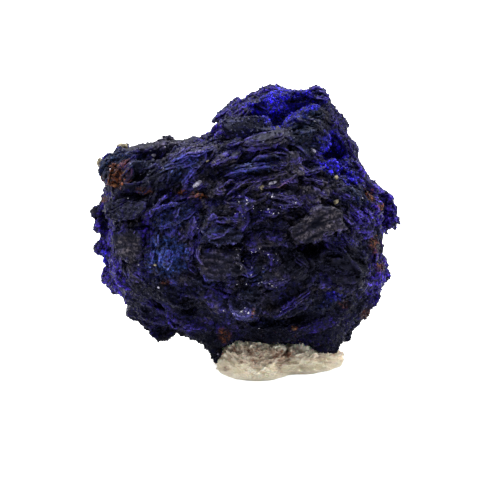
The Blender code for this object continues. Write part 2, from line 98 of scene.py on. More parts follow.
def noise_at(points, size, seed, octaves=3):
    """Smooth noise of about -1 to 1, whose lumps are that many mm wide."""
    offset = Vector((seed * 17.3, seed * 5.1, seed * -9.7))
    return np.array([
        noise.fractal(Vector(point) / size + offset, 0.7, 2.0, octaves) for point in points
    ])


def wobble(points, size, seed):
    """A smooth noise of directions, with which points are shifted to bend a pattern."""
    return np.stack([noise_at(points, size, seed + axis, 2) for axis in range(3)], axis=1)


# %% [markdown]
# ## The grain
#
# The leaves of this specimen lie in rough rings round one place on the front, like the steps of an open
# quarry. A formula gives the slope of the leaves anywhere, so that the relief, the single leaves and the fine
# lines in the finish all follow the same grain.

# %% Slope of the leaves
GRAIN_HEART = (2.0, 16.0)
GRAIN_BEND = 0.7
GRAIN_RISE = 12.0


def grain_slope(across, height):
    """Slope of the leaves in degrees."""
    turn = np.degrees(np.arctan2(across - GRAIN_HEART[0], height - GRAIN_HEART[1]))
    return GRAIN_RISE - GRAIN_BEND * ((turn + 90) % 180 - 90)


print("slope above and left of the heart:", grain_slope(2.0, 30.0).round(), grain_slope(-10.0, 16.0).round())

# %% [markdown]
# ## The body
#
# The CAD solid is made of flat triangles about a millimetre wide. A copy of it is welded, then *remeshed*:
# Blender lays a fine grid over it and wraps a new even skin of small squares round it. An even skin is what
# displacement needs. The CAD object itself stays as it is, hidden, and the pieces made from this copy stand
# for it.

# %% Copy, weld and remesh the solid
BODY_GRID = 0.2


def select_only(thing):
    bpy.ops.object.select_all(action="DESELECT")
    thing.select_set(True)
    bpy.context.view_layer.objects.active = thing


def apply_modifier(thing, name, kind, **settings):
    """Adds a modifier with its settings and applies it."""
    modifier = thing.modifiers.new(name, kind)
    for key, value in settings.items():
        setattr(modifier, key, value)
    select_only(thing)
    bpy.ops.object.modifier_apply(modifier=modifier.name)


def copy_of_node(node, name):
    """A welded copy of a CAD node's mesh as a new object."""
    copied = bpy.data.objects.new(name, frame["nodes"][node].data.copy())
    bpy.context.scene.collection.objects.link(copied)
    copied.data.materials.clear()
    select_only(copied)
    bpy.ops.object.mode_set(mode="EDIT")
    bpy.ops.mesh.select_all(action="SELECT")
    bpy.ops.mesh.remove_doubles(threshold=1e-6)
    bpy.ops.object.mode_set(mode="OBJECT")
    return copied


body = copy_of_node("azurite", "azurite_body")
apply_modifier(body, "even skin", "REMESH", mode="VOXEL", voxel_size=BODY_GRID * MM)
apply_modifier(body, "soften", "SMOOTH", factor=0.5, iterations=14)
print("body:", len(body.data.polygons), "squares")

# %% [markdown]
# A mesh this fine is slow to handle point by point. So its points and normals are read as whole arrays,
# worked on with numpy, and written back. Averaging each point with its neighbours, which `softened` does,
# gives two more things: how far a point stands out of the surface round it, and normals that are even enough
# to push along.

# %% Read and write a mesh as arrays
RELIEF_ROUNDS = 8
PUSH_ROUNDS = 60


def points_of(mesh):
    """The mesh's points in mm."""
    values = np.empty(len(mesh.vertices) * 3, np.float32)
    mesh.vertices.foreach_get("co", values)
    return values.reshape(-1, 3).astype(float) / MM


def normals_of(mesh):
    values = np.empty(len(mesh.vertices) * 3, np.float32)
    mesh.vertices.foreach_get("normal", values)
    return values.reshape(-1, 3).astype(float)


def set_points(mesh, points):
    mesh.vertices.foreach_set("co", (points * MM).astype(np.float32).ravel())
    mesh.update()


def thing_from(name, points, loops, sizes):
    """A new object of faces with those numbers of corners, whose corners are listed one face after another."""
    mesh = bpy.data.meshes.new(name)
    mesh.vertices.add(len(points))
    mesh.loops.add(len(loops))
    mesh.polygons.add(len(sizes))
    mesh.vertices.foreach_set("co", (points * MM).astype(np.float32).ravel())
    mesh.loops.foreach_set("vertex_index", loops.astype(np.int32))
    mesh.polygons.foreach_set("loop_start", np.concatenate([[0], np.cumsum(sizes)[:-1]]).astype(np.int32))
    mesh.update(calc_edges=True)
    thing = bpy.data.objects.new(name, mesh)
    bpy.context.scene.collection.objects.link(thing)
    return thing


def softened(mesh, vectors, rounds):
    """Vectors on the mesh's points, averaged with their neighbours that many times."""
    edges = np.empty(len(mesh.edges) * 2, np.int32)
    mesh.edges.foreach_get("vertices", edges)
    starts, ends = edges.reshape(-1, 2).T
    starts, ends = np.concatenate([starts, ends]), np.concatenate([ends, starts])
    neighbours = np.bincount(ends, minlength=len(vectors))[:, None]
    for _ in range(rounds):
        around = np.stack([np.bincount(ends, vectors[starts, axis], len(vectors)) for axis in range(3)], axis=1)
        vectors = (vectors + around / neighbours) / 2
    return vectors


def relief_of(mesh, rounds=RELIEF_ROUNDS):
    """How far each point stands out of the surface around it, in mm, below zero in a cleft."""
    points = points_of(mesh)
    return np.einsum("nd,nd->n", points - softened(mesh, points, rounds), normals_of(mesh))


def push_ways(mesh):
    """The directions to push the skin in: its normals evened out, so that bumps don't spread into knobs."""
    ways = softened(mesh, normals_of(mesh), PUSH_ROUNDS)
    return ways / np.linalg.norm(ways, axis=1, keepdims=True)


# %% [markdown]
# ## Zones
#
# Colour and texture change together over the specimen: the hollow is bright ultramarine sugar, the plates are
# smooth and carry a painted sheen of grey, the rim is violet, and some patches are steel blue, green-blue or
# rusty. One more zone is painted shade, which darkens the places where the specimen lies in its own shadow.
# Each zone is a short list of ovals on the front: across, height, half width, half height, slope in degrees,
# strength. Noise frays their edges. Behind, where nothing was laid out, noise alone makes the same zones in the
# same shares, so that painted shade and painted sheen lie there in random patches.

# %% Ovals of each zone
ZONES = {
    "ultramarine": (
        (4.6, 38.3, 4.8, 2.9, 18, 1.0), (8.8, 39.4, 3.0, 1.8, -5, 0.6), (13.2, 31.8, 2.2, 4.0, 14, 0.65),
        (12.9, 29.6, 2.2, 1.2, -8, 0.75), (15.4, 28.2, 1.8, 1.4, -30, 0.7), (-21.2, 16.2, 1.0, 1.6, 0, 0.8),
        (13.0, 10.7, 1.8, 0.9, -10, 0.5), (-1.0, 39.4, 2.0, 1.0, 30, 0.3),
    ),
    "violet": (
        (-20.8, 20.5, 1.8, 6.5, 0, 0.85), (-19.6, 13.5, 2.2, 5.0, 20, 0.9), (-13.5, 8.0, 7.0, 2.6, -20, 0.35),
        (-4.0, 6.0, 6.0, 1.6, -12, 0.35), (20.6, 23.4, 2.6, 3.4, 0, 0.9), (20.0, 13.0, 2.2, 5.0, 0, 0.9),
        (15.0, 34.5, 2.2, 6.0, 20, 0.6), (11.5, 5.0, 6.0, 3.2, 20, 0.8), (-2.6, 37.4, 2.6, 5.0, -45, 1.0),
        (5.0, 41.4, 7.0, 1.2, 4, 0.7), (17.6, 29.0, 1.6, 3.6, 20, 0.7), (-14.2, 20.0, 1.2, 3.4, 0, 0.6),
        (-10.0, 33.2, 8.0, 0.9, 9, 0.3), (-12.0, 24.4, 5.0, 1.6, 20, 0.5), (17.4, 22.0, 2.6, 3.0, 0, 0.5),
        (-18.0, 23.6, 3.6, 1.4, 6, 0.7), (-0.4, 36.2, 3.6, 1.1, 0, 0.8),
    ),
    "steel": (
        (-11.0, 16.4, 3.2, 3.4, 10, 1.0), (-3.4, 19.5, 3.4, 1.5, -2, 0.5), (-10.6, 22.4, 4.0, 2.4, 20, 0.4),
        (0.0, 8.4, 2.2, 1.3, -20, 0.6), (1.0, 29.4, 4.0, 1.2, 8, 0.5), (-9.0, 30.0, 3.6, 2.0, 35, 0.5),
        (1.0, 36.0, 3.0, 0.9, 0, 0.5), (-6.0, 13.0, 2.4, 1.2, 0, 0.3),
    ),
    "teal": (
        (-18.4, 29.6, 3.6, 2.8, 0, 0.9), (2.0, 35.1, 3.6, 0.8, 3, 0.4), (9.0, 36.4, 3.4, 1.7, 35, 1.0),
        (8.6, 33.6, 2.8, 2.6, 0, 0.7), (0.8, 10.9, 1.8, 1.4, 0, 0.9), (16.4, 25.6, 2.4, 1.4, -30, 0.6),
        (2.2, 34.0, 1.4, 0.9, 0, 0.7), (11.6, 9.4, 3.4, 1.4, 30, 0.5), (-2.0, 15.4, 2.4, 2.2, 0, 0.4),
        (-4.8, 22.4, 2.4, 0.7, 20, 0.5), (-3.6, 19.6, 2.6, 1.0, 0, 0.4), (-15.4, 29.6, 2.4, 2.0, 0, 0.7),
        (4.0, 6.8, 2.6, 1.1, 10, 0.6), (2.0, 14.0, 2.6, 1.6, 0, 0.5),
    ),
    "rust": (
        (-18.7, 28.3, 1.5, 2.0, 20, 1.2), (-17.6, 30.0, 1.0, 0.8, 0, 0.7), (-21.2, 25.0, 0.7, 0.5, 0, 1.0),
        (-9.2, 25.9, 1.0, 0.5, 0, 1.1), (-6.8, 25.4, 1.4, 0.5, -10, 1.0), (18.4, 25.6, 0.7, 1.2, 20, 0.9),
        (20.1, 23.8, 0.7, 0.6, 0, 0.9), (19.0, 18.2, 0.9, 1.6, 10, 0.8), (19.9, 15.0, 0.8, 0.9, 0, 0.8),
        (18.2, 7.8, 1.2, 1.0, 0, 0.8), (-3.0, 4.9, 1.3, 1.0, 0, 1.0), (7.3, 6.0, 0.5, 0.5, 0, 1.2),
        (1.3, 8.6, 0.4, 0.4, 0, 1.2), (-11.5, 12.8, 0.8, 0.5, 0, 0.9), (5.4, 26.8, 0.8, 0.7, 0, 0.5),
        (14.6, 9.6, 1.0, 0.7, 0, 0.6), (-14.6, 26.2, 1.6, 0.6, -6, 0.7),
    ),
    # Painted sheen: a light grey that stands in for the reflection of the bright tent on the smooth plates, and
    # lightens a few patches near the middle and the bottom.
    "painted_sheen": (
        (10.4, 21.2, 5.0, 2.5, 20, 1.2), (-17.0, 18.0, 2.4, 2.2, 0, 1.0), (-3.8, 15.4, 3.4, 2.4, 0, 0.7),
        (-12.4, 33.2, 5.8, 1.0, 9, 0.8), (-8.0, 32.0, 3.6, 0.8, 14, 0.7), (-3.8, 26.2, 1.6, 0.9, 25, 1.0),
        (2.6, 33.6, 3.6, 0.8, 12, 0.5), (4.0, 27.6, 5.0, 1.8, 18, 0.7), (9.0, 25.8, 5.0, 2.4, 5, 0.6),
        (-0.6, 23.6, 2.6, 0.8, 4, 0.6), (3.4, 31.4, 2.4, 0.7, 6, 0.5), (15.0, 13.8, 3.4, 2.2, -25, 0.5),
        (-17.5, 21.5, 2.6, 0.7, 0, 0.4), (-3.2, 19.4, 3.0, 1.2, 0, 0.6), (6.0, 14.6, 3.4, 2.2, 10, 0.7),
        (1.5, 9.6, 4.6, 2.4, 0, 0.6),
    ),
    # Painted shade: near-black flecks where the specimen lies in its own shadow, under blocks and ledges, in
    # pits and low on the right.
    "painted_shade": (
        (9.0, 15.6, 6.0, 3.2, 0, 0.9), (8.0, 7.4, 7.5, 1.8, 6, 0.65), (-8.4, 8.8, 2.4, 1.4, 0, 0.7),
        (-15.2, 27.8, 1.8, 1.8, 0, 1.0), (-5.4, 3.4, 2.2, 2.4, 0, 1.0), (-15.0, 25.0, 5.0, 0.9, 0, 0.8),
        (15.0, 15.0, 4.0, 3.0, -15, 0.9), (7.2, 39.0, 0.9, 1.1, 0, 1.2), (-2.0, 12.6, 3.0, 1.0, 0, 0.3),
        (11.5, 4.4, 5.0, 2.4, 20, 0.8), (-13.6, 27.2, 3.6, 1.6, 10, 0.8), (-12.6, 11.0, 3.0, 2.0, 0, 0.7),
        (-15.6, 8.6, 3.0, 1.6, -30, 0.6), (3.0, 16.4, 4.0, 2.4, 0, 0.3), (6.0, 21.4, 3.0, 2.0, 0, 0.4),
        (14.0, 7.6, 4.0, 3.0, 20, 0.7), (-2.8, 37.6, 3.6, 2.6, 45, 0.45), (-16.4, 26.6, 3.4, 1.2, 0, 0.5),
        (15.4, 33.8, 1.8, 4.6, 22, 0.4), (-17.6, 23.4, 4.6, 1.6, 6, 0.95), (8.6, 34.6, 4.0, 3.0, 30, 0.5),
        (4.6, 4.6, 6.0, 2.2, 0, 0.8), (12.4, 4.4, 5.0, 2.6, 10, 1.0), (-0.2, 36.2, 4.2, 1.5, 0, 1.0),
        (-18.0, 24.2, 3.8, 1.0, 6, 1.0), (-14.6, 29.2, 2.0, 2.0, 0, 0.6),
    ),
}
print("zones:", ", ".join(ZONES))

# %% [markdown]
# One function turns the ovals into *masks*: for each zone, a number from 0 to 1 on every point of a mesh. The
# front fades into the back as on an egg of the specimen's size. The masks are stored on the points, where a
# finish can read them, and they decide where leaves and crystals grow too.

# %% Masks of the zones
# On the back, the painted shade and the painted sheen come in random patches as well, in these shares.
BACK_SHARES = {"ultramarine": 0.24, "violet": 0.62, "steel": 0.40, "teal": 0.34, "rust": 0.16, "painted_sheen": 0.34,
               "painted_shade": 0.3}
FRAY = 0.38
EGG_MIDDLE = np.array([0.0, 1.0, 21.5])
EGG_REACH = np.array([22.0, 14.0, 20.0])


def front_share(points):
    """1 on the front half of the specimen and 0 on the back half, as on an egg of its size."""
    outward = (points - EGG_MIDDLE) / EGG_REACH ** 2
    outward /= np.linalg.norm(outward, axis=1, keepdims=True)
    return 1 - ramp(outward @ EYE, 0.2, 0.6)


def zone_masks(points, zones=ZONES, shares=BACK_SHARES):
    """For each zone, how much of it there is at each point, from 0 to 1."""
    across, height = as_seen(points)
    faces_eye = front_share(points)
    fray = noise_at(points, 1.5, 11, 3) * FRAY
    masks = {}
    for number, (zone, ovals) in enumerate(zones.items()):
        front = np.zeros(len(points))
        for middle, level, half_width, half_height, slope, strength in ovals:
            turn = math.radians(slope)
            along = (across - middle) * math.cos(turn) + (height - level) * math.sin(turn)
            over = (height - level) * math.cos(turn) - (across - middle) * math.sin(turn)
            reach = np.hypot(along / half_width, over / half_height) + fray
            front = np.maximum(front, strength * (1 - ramp(reach, 0.55, 1.25)))
        share = shares[zone]
        back = ramp(noise_at(points, 6.0, 20 + number, 3), 0.62 - share, 0.95 - share)
        masks[zone] = np.clip(front * faces_eye + back * (1 - faces_eye) * 0.9, 0, 1)
    return masks


def store_masks(mesh, masks):
    """Keeps each zone's mask on the mesh's points, where the finish reads it."""
    for zone, values in masks.items():
        attribute = mesh.attributes.new(zone, "FLOAT", "POINT")
        attribute.data.foreach_set("value", values.astype(np.float32))


# %% [markdown]
# ## Places to grow on
#
# Leaves and crystals are scattered over the body. A place is drawn at random from the skin's faces, larger
# faces being drawn more often, so that the scatter is even. Each place keeps its normal and the direction of
# the grain there, which is the grain's slope laid flat on the surface.

# %% Draw places on faces


class Ground:
    """The faces of some meshes made of squares, from which places are drawn."""

    def __init__(self, *things):
        self.points = np.concatenate([points_of(thing.data) for thing in things])
        self.normals = np.concatenate([normals_of(thing.data) for thing in things])
        self.relief = np.concatenate([relief_of(thing.data) for thing in things])
        corners, areas, first = [], [], 0
        for thing in things:
            mesh = thing.data
            loops = np.empty(len(mesh.loops), np.int32)
            mesh.loops.foreach_get("vertex_index", loops)
            corners.append(loops.reshape(-1, 4) + first)
            area = np.empty(len(mesh.polygons), np.float32)
            mesh.polygons.foreach_get("area", area)
            areas.append(area.astype(float))
            first += len(mesh.vertices)
        self.corners, self.areas = np.concatenate(corners), np.concatenate(areas)

    def draw(self, count, seed, wanted):
        """Places, their normals and their relief, drawn by area and by how much each point is wanted."""
        weight = self.areas * wanted[self.corners].mean(axis=1)
        chance = np.random.default_rng(seed)
        picked = chance.choice(len(weight), size=count, p=weight / weight.sum())
        blend = chance.dirichlet((1.0, 1.0, 1.0, 1.0), size=count)
        places = np.einsum("nc,ncd->nd", blend, self.points[self.corners[picked]])
        outward = self.normals[self.corners[picked]].mean(axis=1)
        outward /= np.maximum(np.linalg.norm(outward, axis=1, keepdims=True), 1e-6)
        return places, outward, self.relief[self.corners[picked]].mean(axis=1)


body_points, body_normals = points_of(body.data), normals_of(body.data)
body_masks = zone_masks(body_points)
smooth_ground = Ground(body)


def grain_axes(places, outward):
    """Along the grain and across it, both square to the normal."""
    across, height = as_seen(places)
    slope = np.radians(grain_slope(across, height))
    along = np.cos(slope)[:, None] * RIGHT + np.sin(slope)[:, None] * EYE_UP
    along -= outward * np.einsum("nd,nd->n", along, outward)[:, None]
    along /= np.maximum(np.linalg.norm(along, axis=1, keepdims=True), 1e-6)
    return along, np.cross(outward, along)


# %% [markdown]
# ## Plates
#
# Nine leaves on the front are broad and smooth. They have few crystals, and fine lines that run along them,
# seven tenths of a millimetre apart. Each is an outline on the front and the slope of its lines. A groove
# runs round it.

# %% Outlines of the plates
PLATES = (
    (24, (6.4, 20.4), (9.1, 22.7), (9.9, 23.8), (12.4, 24.0), (14.5, 23.4), (14.0, 21.6), (15.1, 20.4),
     (11.6, 20.4), (10.9, 19.0), (8.2, 18.3), (7.3, 18.7)),
    (4, (-19.9, 20.4), (-14.6, 20.6), (-15.2, 16.4), (-17.7, 16.2), (-19.0, 16.8)),
    (6, (-6.7, 19.0), (-5.0, 20.6), (-2.4, 21.0), (-0.3, 20.0), (-0.6, 18.6), (-3.6, 18.2)),
    (3, (-7.1, 16.6), (-6.0, 17.8), (-0.8, 17.8), (-0.7, 14.8), (-3.0, 13.2), (-5.6, 13.1), (-6.8, 15.0)),
    (0, (-2.6, 15.1), (-0.3, 15.2), (-0.1, 14.2), (-1.2, 13.6), (-2.3, 13.9)),
    (-24, (-1.7, 9.0), (1.0, 8.9), (2.2, 7.7), (1.2, 6.9), (-0.6, 7.1)),
    (-20, (12.1, 16.3), (14.9, 16.3), (18.1, 15.1), (18.4, 13.6), (15.7, 14.2), (12.7, 15.4)),
    (-23, (11.6, 14.8), (13.9, 14.4), (16.9, 12.9), (16.6, 12.1), (13.9, 12.7), (11.6, 13.9)),
    (7, (-17.8, 32.3), (-16.4, 33.4), (-11.0, 34.1), (-7.2, 34.7), (-6.6, 33.9), (-12.0, 32.9), (-17.0, 31.9)),
)
LINE_PITCH = 0.7
LINE_DEPTH = 0.18
PLATE_RISE = 0.25
GROOVE_DEPTH = 0.4


def gap_to_line(across, height, start, end):
    """How far each place is from a straight line between two places."""
    (x0, y0), (x1, y1) = start, end
    dx, dy = x1 - x0, y1 - y0
    part = np.clip(((across - x0) * dx + (height - y0) * dy) / (dx * dx + dy * dy), 0, 1)
    return np.hypot(across - x0 - part * dx, height - y0 - part * dy)


def depth_in(across, height, outline):
    """How far inside the outline each place lies, in mm, or below zero outside it."""
    nearest = np.full(len(across), np.inf)
    inside = np.zeros(len(across), bool)
    for start, end in zip(outline, (*outline[1:], outline[0])):
        nearest = np.minimum(nearest, gap_to_line(across, height, start, end))
        (x0, y0), (x1, y1) = start, end
        if y1 != y0:
            inside ^= ((y0 > height) != (y1 > height)) & (across < x0 + (height - y0) * (x1 - x0) / (y1 - y0))
    return np.where(inside, nearest, -nearest)


def plates_at(points, normals):
    """How much plate there is at each point, the height of its lines, and how much of a groove round it."""
    across, height = as_seen(points)
    ragged = 0.4 * noise_at(points, 1.1, 8, 3)
    plate, lines, groove = np.zeros(len(points)), np.zeros(len(points)), np.zeros(len(points))
    in_front = ramp(-(normals @ EYE), 0.0, 0.3)
    for slope, *outline in PLATES:
        depth = depth_in(across, height, outline) + ragged
        here = ramp(depth, -0.15, 0.3) * in_front
        groove = np.maximum(groove, np.exp(-((depth + 0.4) / 0.22) ** 2) * in_front)
        turn = math.radians(slope)
        over = height * math.cos(turn) - across * math.sin(turn)
        along = across * math.cos(turn) + height * math.sin(turn)
        for at in np.flatnonzero(here > 0):
            line = noise.fractal(Vector((along[at] / 2.4, over[at] / LINE_PITCH, slope)), 0.8, 2.0, 2)
            lines[at] += here[at] * line
        plate = np.maximum(plate, here)
    return plate, lines, groove * (1 - plate)


body_plates, plate_lines, plate_grooves = plates_at(body_points, body_normals)
print("plates cover", round(100 * float(body_plates.mean()), 1), "% of the skin")

# %% [markdown]
# ## Leafy and blocky skin
#
# The upper half is leafy. The lower half and the violet rims are blocky instead: rounded heads of crystals,
# with black clefts between them. One share decides how leafy the skin is at each point. Leaves lie on the
# front and on the back, and the narrow sides between them are blocky too. Low on the right only a few long
# blades lie, like a fan.

# %% Share of leaves at each point
levels = as_seen(body_points)[1] + 3.0 * noise_at(body_points, 4.0, 31, 2)
facing = ramp(np.abs(body_normals @ EYE), 0.15, 0.5)
leafy = (0.12 + 0.88 * ramp(levels, 9.5, 16.5)) * facing
leafy *= 1 - np.clip(1.3 * body_masks["ultramarine"] + 0.7 * body_masks["violet"], 0, 1)
across, height = as_seen(body_points)
blades = ramp(-np.hypot((across - 15.0) / 4.8, (height - 14.2) / 3.6), -1.1, -0.7) * front_share(body_points)
leafy *= 1 - 0.95 * blades
print("leafy share of the skin:", round(float(leafy.mean()), 2))

# %% [markdown]
# ## Leaves in relief
#
# Most leaves have grown together, so they are raised in the skin itself. Each leaf is a *stamp*: a patch of
# skin is pushed out to a sharp, bowed lower edge, slopes back above it, and gets a thin gap below it, where
# its shadow will lie. Later stamps overlap earlier ones, as bark does. The places are first bent a little by
# noise, so that every edge comes out ragged.

# %% A stamp
DEEPEST_GAP = -0.6  # mm


class Skin:
    """The skin's points, sorted so that near ones are quick to find, and the height they're pushed to."""

    def __init__(self, points, normals):
        self.order = np.argsort(points[:, 0])
        self.points, self.normals = points[self.order], normals[self.order]
        self.bent = self.points + 0.22 * wobble(self.points, 0.9, 51)
        self.height = np.zeros(len(points))

    def near(self, place, reach):
        low, high = np.searchsorted(self.points[:, 0], (place[0] - reach, place[0] + reach))
        offset = self.points[low:high] - place
        return low + np.flatnonzero(np.einsum("nd,nd->n", offset, offset) < reach * reach)

    def stamp(self, place, outward, run, rise, half_length, width, proud, gap):
        """Raises one leaf with that half length, whose visible face is that wide."""
        at = self.near(place, math.hypot(half_length, width * 1.6))
        local = self.bent[at] - place
        along = local @ run / half_length
        over = local @ rise / width + 0.45 * along * along + 0.5
        inside = (np.abs(along) < 1) & (np.abs(local @ outward) < 1.5)
        inside &= self.normals[at] @ outward > 0.1
        at, along, over = at[inside], along[inside], over[inside]
        ends = 1 - along ** 4
        face = proud * ends * ramp(over, -0.05, 0.08) * (1 - ramp(over, 0.55, 1.5))
        shadow = gap * ends * np.exp(-((over + 0.17) / 0.12) ** 2)
        self.height[at] = np.maximum(np.maximum(self.height[at] - shadow, DEEPEST_GAP), face)

    def heights(self):
        """The heights in the mesh's own order."""
        back = np.empty(len(self.height))
        back[self.order] = self.height
        return back


# %% [markdown]
# The leaves come in three sizes. Those of the last kind are placed one by one, where the specimen's clearest
# ridges and swellings are. Thin frosted rims follow lines of their own, and one round head sits at the left
# outline.

# %% Ridges and rims
RIDGES = (  # across, height, half length, width, slope, and how far it stands out
    (-8.2, 31.6, 3.4, 0.8, 6, 0.5), (-7.4, 30.8, 3.0, 0.8, 10, 0.5), (-9.6, 30.2, 2.8, 0.8, 30, 0.5),
    (-10.8, 28.8, 2.4, 0.9, 48, 0.4), (-8.6, 28.4, 2.2, 0.8, 44, 0.4), (2.6, 33.2, 3.6, 1.3, 10, 0.7),
    (3.6, 31.3, 2.8, 1.0, 6, 0.5), (-2.8, 30.8, 2.4, 0.8, 16, 0.5), (0.2, 29.5, 3.8, 1.3, 10, 0.6),
    (4.8, 30.2, 2.0, 0.6, 6, 0.5), (3.4, 28.4, 4.4, 0.8, 16, 0.5), (4.2, 27.4, 3.6, 0.7, 18, 0.5),
    (-3.8, 26.3, 1.5, 0.7, 28, 0.5), (-1.2, 26.8, 2.8, 0.7, 26, 0.5), (-0.6, 25.9, 3.0, 0.7, 24, 0.5),
    (0.4, 25.2, 2.6, 0.6, 18, 0.4), (-0.6, 23.9, 2.6, 0.8, 4, 0.6), (-4.2, 23.0, 1.5, 0.9, 8, 0.4),
    (-2.2, 21.9, 2.9, 0.8, 2, 0.6), (-3.6, 20.3, 2.6, 0.7, 14, 0.4), (5.2, 25.6, 3.2, 0.7, 10, 0.4),
    (6.6, 24.4, 2.8, 0.7, 6, 0.4), (4.6, 23.0, 2.4, 0.7, 14, 0.4), (9.4, 29.0, 2.6, 0.8, 10, 0.4),
    (10.8, 27.6, 2.8, 0.8, 6, 0.4), (12.6, 26.4, 2.4, 0.8, -14, 0.4), (0.8, 35.0, 4.6, 1.1, 4, 0.6),
    (-2.8, 38.2, 2.6, 0.9, 48, 0.5), (-1.0, 37.0, 2.8, 0.9, 44, 0.5), (-18.4, 24.4, 3.0, 1.1, 8, 0.5),
    (-17.6, 22.8, 3.0, 0.8, 12, 0.4), (-13.2, 23.6, 2.6, 0.7, 26, 0.4), (-10.6, 24.4, 2.6, 0.7, 24, 0.4),
    (-9.0, 22.6, 3.0, 0.7, 28, 0.4), (-11.6, 21.6, 2.4, 0.7, 24, 0.4), (-7.0, 20.8, 2.2, 0.8, 34, 0.4),
    (13.6, 14.8, 3.8, 0.9, -18, 0.5), (14.6, 13.2, 3.6, 0.9, -28, 0.5), (12.6, 12.2, 3.0, 0.8, -38, 0.4),
    (15.4, 16.2, 3.2, 0.9, -6, 0.5), (-3.6, 9.4, 3.2, 0.9, -40, 0.5), (6.6, 9.9, 3.6, 0.9, 24, 0.5),
    (-8.6, 6.8, 3.4, 0.9, -12, 0.5), (-13.2, 10.4, 2.8, 0.9, -34, 0.4), (4.6, 13.4, 2.6, 0.9, 16, 0.4),
    (7.4, 14.6, 2.4, 0.8, 24, 0.4), (10.6, 6.2, 3.0, 0.9, 30, 0.4), (0.4, 8.6, 2.4, 1.1, -14, 0.5),
    (17.6, 20.2, 2.2, 0.9, 10, 0.4), (16.8, 22.8, 2.4, 0.9, -20, 0.4),
)
SWELLS = (  # broader ones without free sheets on them
    (-12.4, 32.4, 5.4, 1.2, 8, 0.4), (7.4, 35.6, 2.2, 1.1, 32, 0.5), (9.6, 37.4, 2.4, 1.1, 40, 0.5),
    (8.0, 33.2, 2.6, 1.0, 26, 0.4), (7.6, 31.8, 1.2, 0.9, 0, 0.7), (0.2, 40.2, 2.6, 0.8, 30, 0.3),
    (5.4, 41.0, 3.0, 0.8, 0, 0.2), (13.2, 37.8, 2.6, 1.0, -62, 0.3), (15.0, 34.4, 3.0, 1.0, -66, 0.3),
    (16.4, 31.2, 2.6, 1.0, -58, 0.3),
)
RIM_LINES = (  # thin frosted rims, each along a few places
    ((-8.0, 19.5), (-7.8, 17.5), (-7.2, 15.7), (-6.3, 14.2), (-5.5, 13.2)),
    ((5.8, 35.6), (7.5, 36.8), (8.7, 37.5), (10.0, 38.4), (11.2, 38.6)),
    ((-1.5, 32.1), (0.7, 33.6), (2.5, 34.4), (4.5, 34.1), (6.1, 33.0)),
    ((-5.5, 11.3), (-3.4, 9.5), (-1.0, 7.5)), ((10.0, 5.0), (11.5, 6.2), (12.8, 7.2)),
    ((-19.9, 20.5), (-20.0, 18.3), (-19.3, 16.6)), ((-20.9, 24.7), (-18.0, 25.2), (-16.0, 25.0)),
    ((-11.2, 31.0), (-8.2, 32.1), (-4.5, 32.5)), ((-4.8, 30.2), (-3.0, 30.8), (-0.7, 30.9)),
    ((1.4, 7.6), (3.0, 8.2), (4.6, 7.6)), ((-16.5, 14.6), (-15.0, 14.0), (-13.6, 14.4)),
    ((11.8, 14.1), (15.4, 13.4), (19.1, 12.2)), ((10.9, 12.9), (14.0, 11.9), (17.2, 10.4)),
    ((12.4, 16.4), (15.6, 15.8), (18.8, 14.6)), ((5.9, 30.9), (8.0, 29.6), (8.8, 28.8)),
)
HEAD = (-21.8, 24.4, 2.0, 0.4)  # across, height, radius and rise
BULGES = (  # soft swellings and dents in the same way, the first in the middle of the bright hollow
    (4.2, 37.4, 3.4, 1.3), (4.6, 38.2, 2.6, 0.9), (5.0, 39.6, 2.4, 0.7), (13.4, 33.0, 2.6, 0.8),
    (-1.4, 38.8, 3.4, 0.6), (10.6, 42.0, 1.6, -0.8), (13.6, 39.6, 2.6, 1.0), (18.8, 26.8, 3.4, -1.4),
    (-20.2, 10.6, 2.8, 0.8), (-10.5, 5.0, 2.6, -0.8), (-14.4, 31.5, 1.3, -0.8), (-12.8, 31.8, 1.3, -0.8),
    (-11.2, 32.0, 1.2, -0.7), (-20.8, 13.4, 3.6, 0.7), (16.4, 37.0, 2.0, -0.7), (12.0, 3.6, 3.2, 1.2),
    (8.0, 3.4, 3.0, 0.9), (-21.0, 27.4, 2.0, 0.7), (-21.2, 21.0, 2.0, 0.7), (-4.6, 3.4, 2.4, 0.4),
    (-12.4, 4.8, 1.8, -0.8), (-4.0, 35.2, 1.8, 0.8), (-13.4, 34.0, 1.5, -0.6),
)

# %% [markdown]
# To place a leaf where the eye sees it, a ray is cast from the eye to the skin. Where it misses, the nearest
# point of the skin is taken.

# %% Cast rays from the eye
EYE_AWAY = 60  # mm


def skin_tree():
    """A tree of the body's faces, in mm, that rays can be cast at."""
    faces = [tuple(polygon.vertices) for polygon in body.data.polygons]
    return BVHTree.FromPolygons([tuple(point) for point in body_points], faces)


def seen_place(tree, across, height):
    """The point of the skin that the eye sees at this place, and the normal there."""
    start = LAYOUT_ORIGIN + RIGHT * across + EYE_UP * height - EYE * EYE_AWAY
    point, normal, _, _ = tree.ray_cast(Vector(start), Vector(EYE))
    if point is None:
        point, normal, _, _ = tree.find_nearest(Vector(start + EYE * EYE_AWAY))
    return np.array(point), np.array(normal)


def level_run(out, slope):
    """The direction along the skin that has this slope, as the eye sees it."""
    turn = math.radians(slope)
    run = RIGHT * math.cos(turn) + EYE_UP * math.sin(turn)
    run = run - out * (run @ out)
    return run / np.linalg.norm(run)


# %% [markdown]
# The leaves drawn at random only need the grain. Coarse ones come first and fine ones over them, and then the
# ridges, so that they stay clearest.

# %% Raise the leaves
LEAF_KINDS = (  # seed, number, ranges of half length, width and height in mm, and depth of the gap below
    (21, 1000, (1.4, 3.4), (0.7, 1.5), (0.25, 0.6), 0.4),
    (22, 3200, (0.6, 1.6), (0.28, 0.6), (0.15, 0.36), 0.24),
)
LEAF_SWING = 12  # degrees that a leaf may leave the grain by
RIDGE_GAP = 0.4


